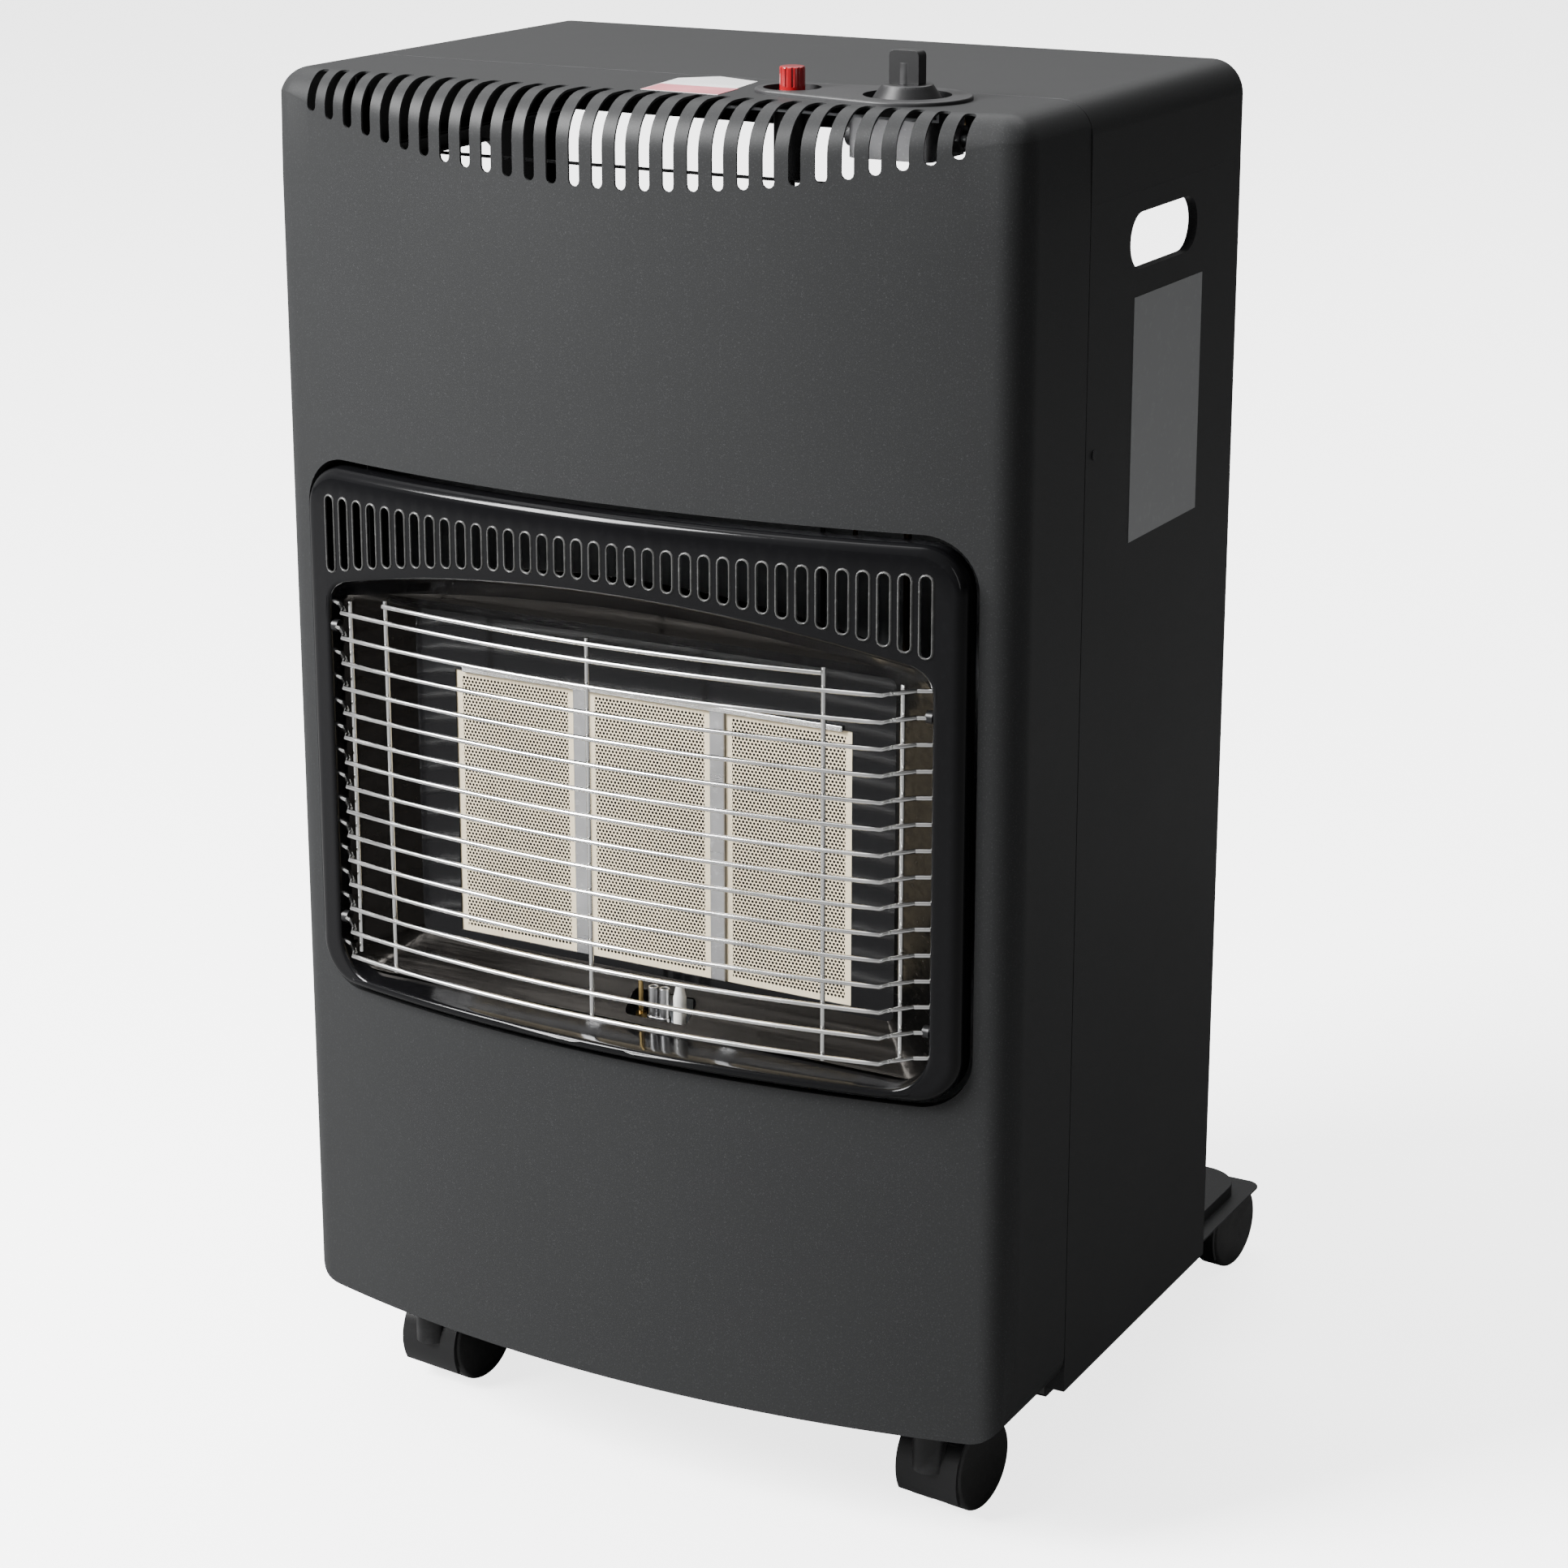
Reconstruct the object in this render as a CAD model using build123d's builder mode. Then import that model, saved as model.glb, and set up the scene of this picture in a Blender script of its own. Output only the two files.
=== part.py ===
from build123d import *

import os
from math import asin, cos, degrees, radians, sin, sqrt

# Gas cabinet heater on castors.
# Frame: X to the right, Y to the back, Z up, floor at Z = 0, origin under the middle of the footprint.
# Lengths named *_Y are counted from the seam between the front cover and the side panels.

# ---- casing -----------------------------------------------------------------------------------
CABINET_W = 420.0
CABINET_TOP_Z = 730.0
BODY_DEPTH = 188.0
SHEET = 1.2
RETURN_FLANGE = 10.0
TOP_EDGE_R = 17.0
SEAM_EASE = 0.8

# front cover: straight sides and a front bowed about an upright axis
BOW_DEPTH = 101.7
BOW_R = 760.0
COVER_LIFT = 7.0
COVER_CORNER_R = 18.0
COVER_BOTTOM_R = 19.0

# side panels and top cover
PANEL_LIFT = 5.4
TOP_COVER_H = 49.5
HANDLE_Y = 89.7
HANDLE_DROP = 24.7
HANDLE_LENGTH = 84.0
HANDLE_HEIGHT = 28.0
HANDLE_LIP = 5.0

# vents over the rounded top front edge
VENT_MARGIN = 24.4
VENT_PITCH = 12.8
VENT_W = 6.0
VENT_DROP = 42.8
VENT_RISE_R = 694.0
VENT_BACK_Y = -66.0

# ---- window and surround ----------------------------------------------------------------------
WINDOW_INSET = 18.3
WINDOW_LOW_Z = 246.7
WINDOW_TOP_Z = 534.5
WINDOW_R = 27.0
WINDOW_LIP = 5.0
PAD_INSET = 3.7
PAD_PROUD = 7.0
SURROUND_SHEET = 1.0
SURROUND_FLANGE = 8.0
MOUTH_INSET = 18.9
MOUTH_LOW_Z = 256.5
MOUTH_TOP_Z = 490.3
MOUTH_ARCH_R = 694.0
MOUTH_TOP_CORNER_R = 14.0
MOUTH_LOW_CORNER_R = 22.0
MOUTH_BACK_Y = -81.0
GRILLE_PITCH = 10.0
GRILLE_SLOT_W = 5.5
GRILLE_TOP_Z = 516.5
GRILLE_LOW_Z = 497.5

# ---- burner -----------------------------------------------------------------------------------
BURNER_FACE_Y = -59.5
PLAQUES = 3
PLAQUE_GAP = 4.3
PLAQUE_H = 147.0
PLAQUE_T = 12.7
DIVIDER_W = 8.4
PLAQUE_VIEW_H = 142.8
PLAQUE_MID_Z = 353.1
FRAME_SHEET = 0.8
FRAME_INSET = 27.8
FRAME_BORDER = 25.15
FRAME_LOW_Z = 271.0
FRAME_TOP_Z = 460.0
PLENUM_DEPTH = 44.0
PLENUM_WALL = 0.8
PLENUM_LEDGE = 3.0
REFLECTOR_SHEET = 0.8
REFLECTOR_FLANGE = 2.5
REFLECTOR_RIM = 2.0
REFLECTOR_BACK_INSET = 5.4
REFLECTOR_BACK_LOW_Z = 277.6
REFLECTOR_BACK_TOP_Z = 454.7
REFLECTOR_FRONT_R = 14.0
REFLECTOR_BACK_R = 4.0
MIXER_R = 10.0
MIXER_WALL = 0.9
MIXER_LENGTH = 48.0
MIXER_BELL_R = 14.0
MANIFOLD_R = 6.0
MANIFOLD_BORE_R = 5.0
MANIFOLD_Z = 202.0
INJECTOR_R = 5.0
INJECTOR_H = 14.0
BURNER_AXIS_Y = -32.0
SHIELD_SHEET = 1.2
SHIELD_DROP = 124.0
SHIELD_INSET = 6.0
BRACKET_SHEET = 1.5

# ---- wire guard -------------------------------------------------------------------------------
WIRE = 2.4
GUARD_STANDOFF = 17.7
GUARD_INSET = 11.8
GUARD_BEND_R = 5.0
GUARD_HOOK_Y = -85.0
GUARD_LOW_Z = 274.3
GUARD_PITCH = 13.27
GUARD_BARS = 15
GUARD_CROWN_Z = 468.5
GUARD_UPRIGHT_INSET = 36.0
CLIP_R = 3.2
CLIP_LENGTH = 3.5

# ---- pilot ------------------------------------------------------------------------------------
PILOT_Y = -72.0
PILOT_BASE_Z = 252.0
PILOT_TUBE_X = (9.0, 15.5)
PILOT_TUBE_R = 2.6
PILOT_TOP_Z = 277.0
THERMOCOUPLE_X = 1.5
CERAMIC_X = 24.5
CERAMIC_R = 3.4
CERAMIC_NECK_R = 1.9
PILOT_SLOT_END = 7.0
PILOT_SLOT_W = 12.0

# ---- controls ---------------------------------------------------------------------------------
KNOB_INSET = 80.0
KNOB_Y = -34.5
CONTROL_PITCH = 61.0
BUTTON_Y = -35.0
PLATE_T = 2.0
PLATE_EDGE_R = 1.0
PLATE_KNOB_R = 31.0
PLATE_BUTTON_R = 18.0
KNOB_CUP_R = 21.0
BUTTON_CUP_R = 14.0
CUP_DEPTH = 6.0
CUP_WALL = 1.5
KNOB_SKIRT_R = 17.5
KNOB_SKIRT_TOP_R = 12.0
KNOB_SKIRT_H = 8.0
KNOB_GRIP_W = 15.5
KNOB_GRIP_T = 8.0
KNOB_TOP_RISE = 21.0
KNOB_PUSH = 3.0
BUTTON_R = 6.2
BUTTON_RISE = 10.0
BUTTON_TRAVEL = 6.0
PIEZO_R = 9.0
PIEZO_LENGTH = 34.0
VALVE_W = 44.0
VALVE_D = 40.0
VALVE_H = 19.0
VALVE_PORT = 8.0
VALVE_PORT_R = 7.0
SPINDLE_R = 3.0
KNOB_BOSS_WALL = 1.5
RUNNING_GAP = 0.06
NOZZLE_R = 4.5
NOZZLE_BORE_R = 2.5
NOZZLE_LENGTH = 26.0
NOZZLE_BARBS = 3
NOZZLE_BARB_H = 0.9
CONTROL_SHEET = 1.5
PIPE_R = 4.0
PIPE_BORE_R = 3.2
PIPE_INSET = 26.0
PILOT_PIPE_R = 2.0
LEAD_R = 1.3
LEAD_BEND_R = 5.0

# ---- base and castors -------------------------------------------------------------------------
TRAY_OVER_WHEELS = 10.6
TRAY_INSET = 10.0
TRAY_TAIL = 115.0
PLATFORM_FRONT_Y = -53.5
TRAY_CORNER_R = 8.0
PLATFORM_INSET = 8.5
PLATFORM_GAP = 0.8
PLATFORM_RISE = 8.4
PLATFORM_CORNER_R = 22.0
BOTTLE_SEAT_R = 143.0
BOTTLE_SEAT_Y = 149.0
BOTTLE_SEAT_RISE = 1.0
CASTOR_WHEEL_R = 25.0
CASTOR_WHEEL_T = 15.5
CASTOR_WEB_T = 5.0
CASTOR_SIDE_GAP = 0.5
CASTOR_TRAIL = 24.0
CASTOR_YAW = -6.0
CASTOR_AXLE_R = 3.0
CASTOR_CAP_T = 2.5
CASTOR_AXLE_GAP = 0.5
CASTOR_TREAD_R = 2.5
CASTOR_STEM_R = 4.0
CASTOR_SOCKET_R = 9.0
CASTOR_SOCKET_H = 9.6
CASTOR_STEM_GAP = 0.6
CASTOR_BOSS_H = 22.0
CASTOR_BOSS_GAP = 0.3
HOOD_GAP = 1.2
HOOD_WALL = 2.0
FRONT_CASTOR_INSET = 46.0
FRONT_CASTOR_Y = -42.0
REAR_CASTOR_INSET = 41.0
REAR_CASTOR_TO_EDGE = 10.0

# ---- screws, labels ---------------------------------------------------------------------------
SCREW_R = 1.5
SCREW_HOLE_R = 1.6
SCREW_HEAD_R = 3.5
SCREW_HEAD_H = 2.0
PANEL_SCREW_Y = 9.1
PANEL_SCREW_DROP = 121.3
PANEL_SCREW_HEAD_R = 2.4
PANEL_SCREW_HEAD_H = 0.7
PANEL_SCREW_LENGTH = 7.0
LABEL_T = 0.2
SIDE_LABEL = (86.0, 122.7)
SIDE_LABEL_Y = 97.0
SIDE_LABEL_DROP = 113.3
TOP_LABEL = (44.0, 60.0)
TOP_LABEL_Y = -33.0
TOP_LABEL_TO_BUTTON = 51.0

# ---- worked out from the sizes above ----------------------------------------------------------
HALF_W = CABINET_W / 2
BOW_CENTRE_Y = BOW_R - BOW_DEPTH
TRAY_Z = 2 * CASTOR_WHEEL_R + TRAY_OVER_WHEELS
TRAY_W = CABINET_W - 2 * TRAY_INSET
TRAY_BACK_Y = BODY_DEPTH + TRAY_TAIL
COVER_BOTTOM_Z = TRAY_Z + COVER_LIFT
PANEL_BOTTOM_Z = TRAY_Z + PANEL_LIFT
CASTOR_SOCKET_LOW_Z = TRAY_Z - CASTOR_SOCKET_H
FRONT_CASTOR_X = TRAY_W / 2 - FRONT_CASTOR_INSET
REAR_CASTOR_X = TRAY_W / 2 - REAR_CASTOR_INSET
REAR_CASTOR_Y = TRAY_BACK_Y - REAR_CASTOR_TO_EDGE
TOP_SEAM_Z = CABINET_TOP_Z - TOP_COVER_H
HANDLE_Z = TOP_SEAM_Z - HANDLE_DROP
PANEL_SCREW_AT = (PANEL_SCREW_Y, TOP_SEAM_Z - PANEL_SCREW_DROP)
SIDE_LABEL_AT = (SIDE_LABEL_Y, TOP_SEAM_Z - SIDE_LABEL_DROP)
VENT_LOW_Z = CABINET_TOP_Z - VENT_DROP
VENTS = round((CABINET_W - 2 * VENT_MARGIN) / VENT_PITCH)
WINDOW_W = CABINET_W - 2 * WINDOW_INSET
MOUTH_W = WINDOW_W - 2 * MOUTH_INSET
GRILLE_SLOTS = round(MOUTH_W / GRILLE_PITCH)
FRAME_W = MOUTH_W - 2 * FRAME_INSET
REFLECTOR_BACK_W = FRAME_W - 2 * REFLECTOR_BACK_INSET
PLAQUE_PITCH = (FRAME_W - 2 * FRAME_BORDER) / PLAQUES
PLAQUE_W = PLAQUE_PITCH - PLAQUE_GAP
PLAQUE_VIEW_W = PLAQUE_PITCH - DIVIDER_W
GUARD_HALF_W = MOUTH_W / 2 - GUARD_INSET
GUARD_UPRIGHT_X = GUARD_HALF_W - GUARD_UPRIGHT_INSET
KNOB_X = HALF_W - KNOB_INSET
BUTTON_X = KNOB_X - CONTROL_PITCH
TOP_LABEL_AT = (BUTTON_X - TOP_LABEL_TO_BUTTON, TOP_LABEL_Y)
PIPE_X = HALF_W - PIPE_INSET
MANIFOLD_END_X = PIPE_X - 4 * PIPE_R
SHIELD_TOP_Z = CABINET_TOP_Z - SHIELD_DROP
SHIELD_W = CABINET_W - 2 * SHIELD_INSET
CASTOR_HALF_W = CASTOR_WEB_T / 2 + CASTOR_SIDE_GAP + CASTOR_WHEEL_T
CASTOR_AXLE_LENGTH = 2 * (CASTOR_HALF_W - CASTOR_CAP_T - CASTOR_AXLE_GAP)
FRONT_REACH = BOW_DEPTH + GUARD_STANDOFF + WIRE / 2
REAR_REACH = (
    REAR_CASTOR_Y
    + (CASTOR_TRAIL + CASTOR_WHEEL_R) * cos(radians(CASTOR_YAW))
    + CASTOR_HALF_W * sin(radians(-CASTOR_YAW))
)
SEAM_Y = (FRONT_REACH - REAR_REACH) / 2
PLATFORM_Z = TRAY_Z + PLATFORM_RISE
PLATFORM_W = TRAY_W - 2 * PLATFORM_INSET
PLATFORM_BACK_Y = TRAY_BACK_Y - PLATFORM_INSET
UNDERSIDE_W = PLATFORM_W + 2 * PLATFORM_GAP
PLAQUE_XS = (-PLAQUE_PITCH, 0.0, PLAQUE_PITCH)
PLENUM_LOW_Z = PLAQUE_MID_Z - PLAQUE_H / 2 - PLENUM_WALL
FRAME_MID_Z = (FRAME_LOW_Z + FRAME_TOP_Z) / 2
FRAME_BACK_Y = BURNER_FACE_Y + FRAME_SHEET
PLENUM_BACK_Y = FRAME_BACK_Y + PLENUM_DEPTH
PLATE_TOP_Z = CABINET_TOP_Z + PLATE_T
CUP_FLOOR_Z = CABINET_TOP_Z - CUP_DEPTH
GUARD_R = BOW_R + GUARD_STANDOFF
GUARD_TOP_Z = GUARD_LOW_Z + GUARD_PITCH * (GUARD_BARS - 1)

os.makedirs("parts", exist_ok=True)


def save(piece, name):
    piece.part.label = name
    export_step(piece.part, f"parts/{name}.step")


def level(z):
    """Horizontal plane at height z, its origin on the seam."""
    return Plane(origin=(0, SEAM_Y, z), x_dir=(1, 0, 0), z_dir=(0, 0, 1))


def facing(y):
    """Upright plane at seam distance y, looking out to the front: x right, y up."""
    return Plane(origin=(0, SEAM_Y + y, 0), x_dir=(1, 0, 0), z_dir=(0, -1, 0))


def side(x):
    """Upright plane at x, looking out to the right: x to the back, y up."""
    return Plane(origin=(x, SEAM_Y, 0), x_dir=(0, 1, 0), z_dir=(1, 0, 0))


def bow_y(x, proud=0.0):
    """Seam distance of the bowed surface, `proud` mm before the front cover's."""
    return BOW_CENTRE_Y - sqrt((BOW_R + proud) ** 2 - x**2)


def upright_rect(width, low_z, top_z, radius, y=0.0):
    """Rounded rectangle on an upright plane facing the front."""
    with BuildSketch(facing(y)) as outline:
        with Locations((0, (low_z + top_z) / 2)):
            RectangleRounded(width, top_z - low_z, radius)
    return outline.sketch


def window_outline(grow):
    """Outline of the front cover's window, moved outwards by `grow`."""
    return upright_rect(WINDOW_W + 2 * grow, WINDOW_LOW_Z - grow, WINDOW_TOP_Z + grow, WINDOW_R + grow)


def mouth_outline(grow, y=0.0):
    """Outline of the surround's mouth: flat foot, upright sides, arched top."""
    half = MOUTH_W / 2 + grow
    top = MOUTH_TOP_Z + grow
    low = MOUTH_LOW_Z - grow
    with BuildSketch(facing(y)) as outline:
        with Locations((0, (low + top) / 2)):
            Rectangle(2 * half, top - low)
        with Locations((0, MOUTH_TOP_Z - MOUTH_ARCH_R)):
            Circle(MOUTH_ARCH_R + grow, mode=Mode.INTERSECT)
        fillet(outline.vertices().sort_by(Axis.Y)[:2], radius=MOUTH_LOW_CORNER_R + grow)
        fillet(outline.vertices().sort_by(Axis.Y)[-2:], radius=MOUTH_TOP_CORNER_R + grow)
    return outline.sketch


def bowed(outer, inner, proud, back_proud=None, back_y=None):
    """Solid between two outlines, from the bow `proud` mm forward to a second bow or a flat back."""
    reach = BOW_DEPTH + 3 * GUARD_STANDOFF
    with BuildPart() as form:
        with BuildSketch(level(0)):
            with Locations((0, BOW_CENTRE_Y)):
                Circle(BOW_R + proud)
                if back_proud is not None:
                    Circle(BOW_R + back_proud, mode=Mode.SUBTRACT)
            back = 0.0 if back_y is None else back_y
            with Locations((0, (back - reach) / 2)):
                Rectangle(CABINET_W, reach + back, mode=Mode.INTERSECT)
        extrude(amount=CABINET_TOP_Z)
        extrude(outer, amount=reach, mode=Mode.INTERSECT)
        extrude(inner, amount=reach, mode=Mode.SUBTRACT)
    return form.part


def cover_form(inset):
    """Front cover's outer shape moved inwards by `inset`; its back face is at the same distance."""
    with BuildPart() as form:
        with BuildSketch(level(COVER_BOTTOM_Z + inset)) as plan:
            with Locations((0, -BOW_DEPTH / 2 - inset)):
                Rectangle(CABINET_W - 2 * inset, BOW_DEPTH)
            with Locations((0, BOW_CENTRE_Y)):
                Circle(BOW_R - inset, mode=Mode.INTERSECT)
            fillet(plan.vertices().group_by(Axis.Y)[0], radius=COVER_CORNER_R - inset)
        extrude(amount=CABINET_TOP_Z - COVER_BOTTOM_Z - 2 * inset)
        top_edges = form.faces().sort_by(Axis.Z)[-1].edges().sort_by(Axis.Y)[:-1]
        fillet(top_edges, radius=TOP_EDGE_R - inset)
        with BuildSketch(facing(0)) as front_view:
            with Locations((0, (COVER_BOTTOM_Z + CABINET_TOP_Z) / 2)):
                Rectangle(CABINET_W - 2 * inset, CABINET_TOP_Z - COVER_BOTTOM_Z - 2 * inset)
            fillet(front_view.vertices().group_by(Axis.Y)[0], radius=COVER_BOTTOM_R - inset)
        extrude(amount=2 * BOW_DEPTH, mode=Mode.INTERSECT)
    return form.part


# ---- front cover ------------------------------------------------------------------------------
cover_outer = cover_form(0.0)
cover_inner = cover_form(SHEET)
window_lip = bowed(window_outline(SHEET), window_outline(0), 0.0, back_proud=-WINDOW_LIP)
vent_xs = [VENT_PITCH * (i - (VENTS - 1) / 2) for i in range(VENTS)]

with BuildPart() as front_cover:
    add(cover_outer)
    add(cover_inner, mode=Mode.SUBTRACT)
    # the back is open inside a return flange, and so is the underside
    extrude(
        upright_rect(
            CABINET_W - 2 * RETURN_FLANGE,
            COVER_BOTTOM_Z + RETURN_FLANGE,
            CABINET_TOP_Z - RETURN_FLANGE,
            TOP_EDGE_R - RETURN_FLANGE / 2,
            y=SHEET,
        ),
        amount=3 * SHEET,
        mode=Mode.SUBTRACT,
    )
    with BuildSketch(level(COVER_BOTTOM_Z - SHEET)):
        with Locations((0, BOW_CENTRE_Y)):
            Circle(BOW_R - RETURN_FLANGE)
        with Locations((0, -BOW_DEPTH / 2)):
            Rectangle(UNDERSIDE_W, BOW_DEPTH, mode=Mode.INTERSECT)
    extrude(amount=3 * SHEET, mode=Mode.SUBTRACT)
    # window with a turned-in lip
    extrude(window_outline(0), amount=2 * BOW_DEPTH, mode=Mode.SUBTRACT)
    add(window_lip)
    # vents: upright slots in the front that carry on over the edge into the top
    for x in vent_xs:
        low_z = VENT_LOW_Z + x**2 / (2 * VENT_RISE_R)
        with BuildSketch(facing(bow_y(HALF_W - COVER_CORNER_R) + 2 * SHEET)):
            with Locations((x, low_z + VENT_W / 2)):
                Circle(VENT_W / 2)
            with Locations((x, (low_z + VENT_W / 2 + CABINET_TOP_Z + SHEET) / 2)):
                Rectangle(VENT_W, CABINET_TOP_Z + SHEET - low_z - VENT_W / 2)
        extrude(amount=BOW_DEPTH, mode=Mode.SUBTRACT)
        with BuildSketch(level(CABINET_TOP_Z - 0.8 * TOP_EDGE_R)):
            with Locations((x, VENT_BACK_Y - VENT_W / 2)):
                Circle(VENT_W / 2)
            with Locations((x, (VENT_BACK_Y - VENT_W / 2 - BOW_DEPTH) / 2)):
                Rectangle(VENT_W, BOW_DEPTH + VENT_BACK_Y - VENT_W / 2)
        extrude(amount=TOP_EDGE_R, mode=Mode.SUBTRACT)
    # round openings for the cups of the control plate
    with BuildSketch(level(CABINET_TOP_Z - 2 * SHEET)):
        with Locations((KNOB_X, KNOB_Y)):
            Circle(KNOB_CUP_R + CUP_WALL)
        with Locations((BUTTON_X, BUTTON_Y)):
            Circle(BUTTON_CUP_R + CUP_WALL)
    extrude(amount=3 * SHEET, mode=Mode.SUBTRACT)
save(front_cover, "front_cover")

# ---- top cover --------------------------------------------------------------------------------


def hood_outline(inset, y):
    """Front view of the top cover: a flat top with two rounded upper corners."""
    with BuildSketch(facing(y)) as outline:
        with Locations((0, (TOP_SEAM_Z + CABINET_TOP_Z) / 2)):
            Rectangle(CABINET_W - 2 * inset, CABINET_TOP_Z - TOP_SEAM_Z - 2 * inset)
        fillet(outline.vertices().group_by(Axis.Y)[-1], radius=TOP_EDGE_R - inset)
    return outline.sketch


with BuildPart() as top_cover:
    extrude(hood_outline(0.0, BODY_DEPTH), amount=BODY_DEPTH)
    extrude(hood_outline(SHEET, BODY_DEPTH - SHEET), amount=BODY_DEPTH - 2 * SHEET, mode=Mode.SUBTRACT)
    extrude(hood_outline(RETURN_FLANGE, 2 * SHEET), amount=4 * SHEET, mode=Mode.SUBTRACT)
    with BuildSketch(level(TOP_SEAM_Z - SHEET)):
        with Locations((0, BODY_DEPTH / 2)):
            Rectangle(CABINET_W - 2 * RETURN_FLANGE, BODY_DEPTH - 2 * SHEET)
    extrude(amount=3 * SHEET, mode=Mode.SUBTRACT)
save(top_cover, "top_cover")

# ---- side panels ------------------------------------------------------------------------------
shield_screw_zs = (PLATFORM_Z + 71.0, (PLATFORM_Z + 71.0 + SHIELD_TOP_Z - 46.0) / 2, SHIELD_TOP_Z - 46.0)
shield_screw_x = HALF_W - RETURN_FLANGE / 2 - SHEET


def side_panel(sign):
    """Side panel with return flanges on all four edges and a lipped hand hole."""
    with BuildPart() as panel:
        with BuildSketch(side(sign * HALF_W)) as face:
            with Locations((BODY_DEPTH / 2, (PANEL_BOTTOM_Z + TOP_SEAM_Z) / 2)):
                Rectangle(BODY_DEPTH, TOP_SEAM_Z - PANEL_BOTTOM_Z)
        extrude(amount=-sign * (RETURN_FLANGE + SHEET))
        with BuildSketch(side(sign * (HALF_W - SHEET))):
            with Locations((BODY_DEPTH / 2, (PANEL_BOTTOM_Z + TOP_SEAM_Z) / 2)):
                Rectangle(BODY_DEPTH - 2 * SHEET, TOP_SEAM_Z - PANEL_BOTTOM_Z - 2 * SHEET)
        extrude(amount=-sign * 2 * RETURN_FLANGE, mode=Mode.SUBTRACT)
        with BuildSketch(side(sign * HALF_W)):
            with Locations((HANDLE_Y, HANDLE_Z)):
                SlotOverall(HANDLE_LENGTH + 2 * SHEET, HANDLE_HEIGHT + 2 * SHEET)
        extrude(amount=-sign * HANDLE_LIP)
        with BuildSketch(side(sign * HALF_W)):
            with Locations((HANDLE_Y, HANDLE_Z)):
                SlotOverall(HANDLE_LENGTH, HANDLE_HEIGHT)
        extrude(amount=-sign * 2 * HANDLE_LIP, mode=Mode.SUBTRACT)
        with BuildSketch(facing(2 * SHEET)):
            with Locations(*[(sign * shield_screw_x, z) for z in shield_screw_zs]):
                Circle(SCREW_HOLE_R)
        extrude(amount=3 * SHEET, mode=Mode.SUBTRACT)
        with BuildSketch(side(sign * HALF_W)):
            with Locations(PANEL_SCREW_AT):
                Circle(SCREW_HOLE_R)
        extrude(amount=-sign * 2 * SHEET, mode=Mode.SUBTRACT)
    return panel


left_side_panel = side_panel(-1)
save(left_side_panel, "left_side_panel")
right_side_panel = side_panel(1)
save(right_side_panel, "right_side_panel")

with BuildPart() as panel_screws:
    for sign in (-1, 1):
        with BuildSketch(side(sign * HALF_W)):
            with Locations(PANEL_SCREW_AT):
                Circle(PANEL_SCREW_HEAD_R)
        extrude(amount=sign * PANEL_SCREW_HEAD_H)
        with BuildSketch(side(sign * HALF_W)):
            with Locations(PANEL_SCREW_AT):
                Circle(SCREW_R)
        extrude(amount=-sign * PANEL_SCREW_LENGTH)
save(panel_screws, "panel_screws")

# ---- base tray --------------------------------------------------------------------------------


def platform_plan(inset):
    """Plan of the raised platform that carries the gas bottle and, in front, the casing."""
    with BuildSketch(level(TRAY_Z)) as plan:
        with Locations((0, (PLATFORM_FRONT_Y + PLATFORM_BACK_Y) / 2)):
            RectangleRounded(
                PLATFORM_W - 2 * inset,
                PLATFORM_BACK_Y - PLATFORM_FRONT_Y - 2 * inset,
                PLATFORM_CORNER_R - inset,
            )
    return plan.sketch


with BuildPart() as base_tray:
    # flange round the platform, from the seam to the back
    with BuildSketch(level(TRAY_Z)) as flange_plan:
        with Locations((0, TRAY_BACK_Y / 2)):
            Rectangle(TRAY_W, TRAY_BACK_Y)
        fillet(flange_plan.vertices().group_by(Axis.Y)[-1], radius=TRAY_CORNER_R)
    extrude(amount=SHEET)
    extrude(platform_plan(0.0), amount=PLATFORM_RISE)
    extrude(platform_plan(SHEET), amount=PLATFORM_RISE - SHEET, mode=Mode.SUBTRACT)
    # round seat for the bottle's foot ring
    with BuildSketch(level(PLATFORM_Z)):
        with Locations((0, BOTTLE_SEAT_Y)):
            Circle(BOTTLE_SEAT_R)
    extrude(amount=BOTTLE_SEAT_RISE)
    # upright rails on the flange that carry the side panels
    with BuildSketch(level(TRAY_Z)):
        with Locations(*[(sign * (TRAY_W - SHEET) / 2, BODY_DEPTH / 2) for sign in (-1, 1)]):
            Rectangle(SHEET, BODY_DEPTH)
    extrude(amount=PANEL_BOTTOM_Z - TRAY_Z)
save(base_tray, "base_tray")

# ---- heat shield between the burner and the bottle bay ----------------------------------------
with BuildPart() as heat_shield:
    with BuildSketch(facing(SHEET)):
        with Locations((0, (PLATFORM_Z + SHIELD_TOP_Z) / 2)):
            Rectangle(SHIELD_W, SHIELD_TOP_Z - PLATFORM_Z)
    extrude(amount=-SHIELD_SHEET)
    with BuildSketch(facing(0)):
        with Locations(*[(s * shield_screw_x, z) for s in (-1, 1) for z in shield_screw_zs]):
            Circle(SCREW_HOLE_R)
    extrude(amount=-2 * (SHEET + SHIELD_SHEET), mode=Mode.SUBTRACT)
save(heat_shield, "heat_shield")

with BuildPart() as shield_screws:
    with BuildSketch(facing(SHEET + SHIELD_SHEET)):
        with Locations(*[(s * shield_screw_x, z) for s in (-1, 1) for z in shield_screw_zs]):
            Circle(SCREW_HEAD_R)
    extrude(amount=-SCREW_HEAD_H)
    with BuildSketch(facing(SHEET + SHIELD_SHEET)):
        with Locations(*[(s * shield_screw_x, z) for s in (-1, 1) for z in shield_screw_zs]):
            Circle(SCREW_R)
    extrude(amount=SHIELD_SHEET + SHEET - RUNNING_GAP)
save(shield_screws, "shield_screws")

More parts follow.
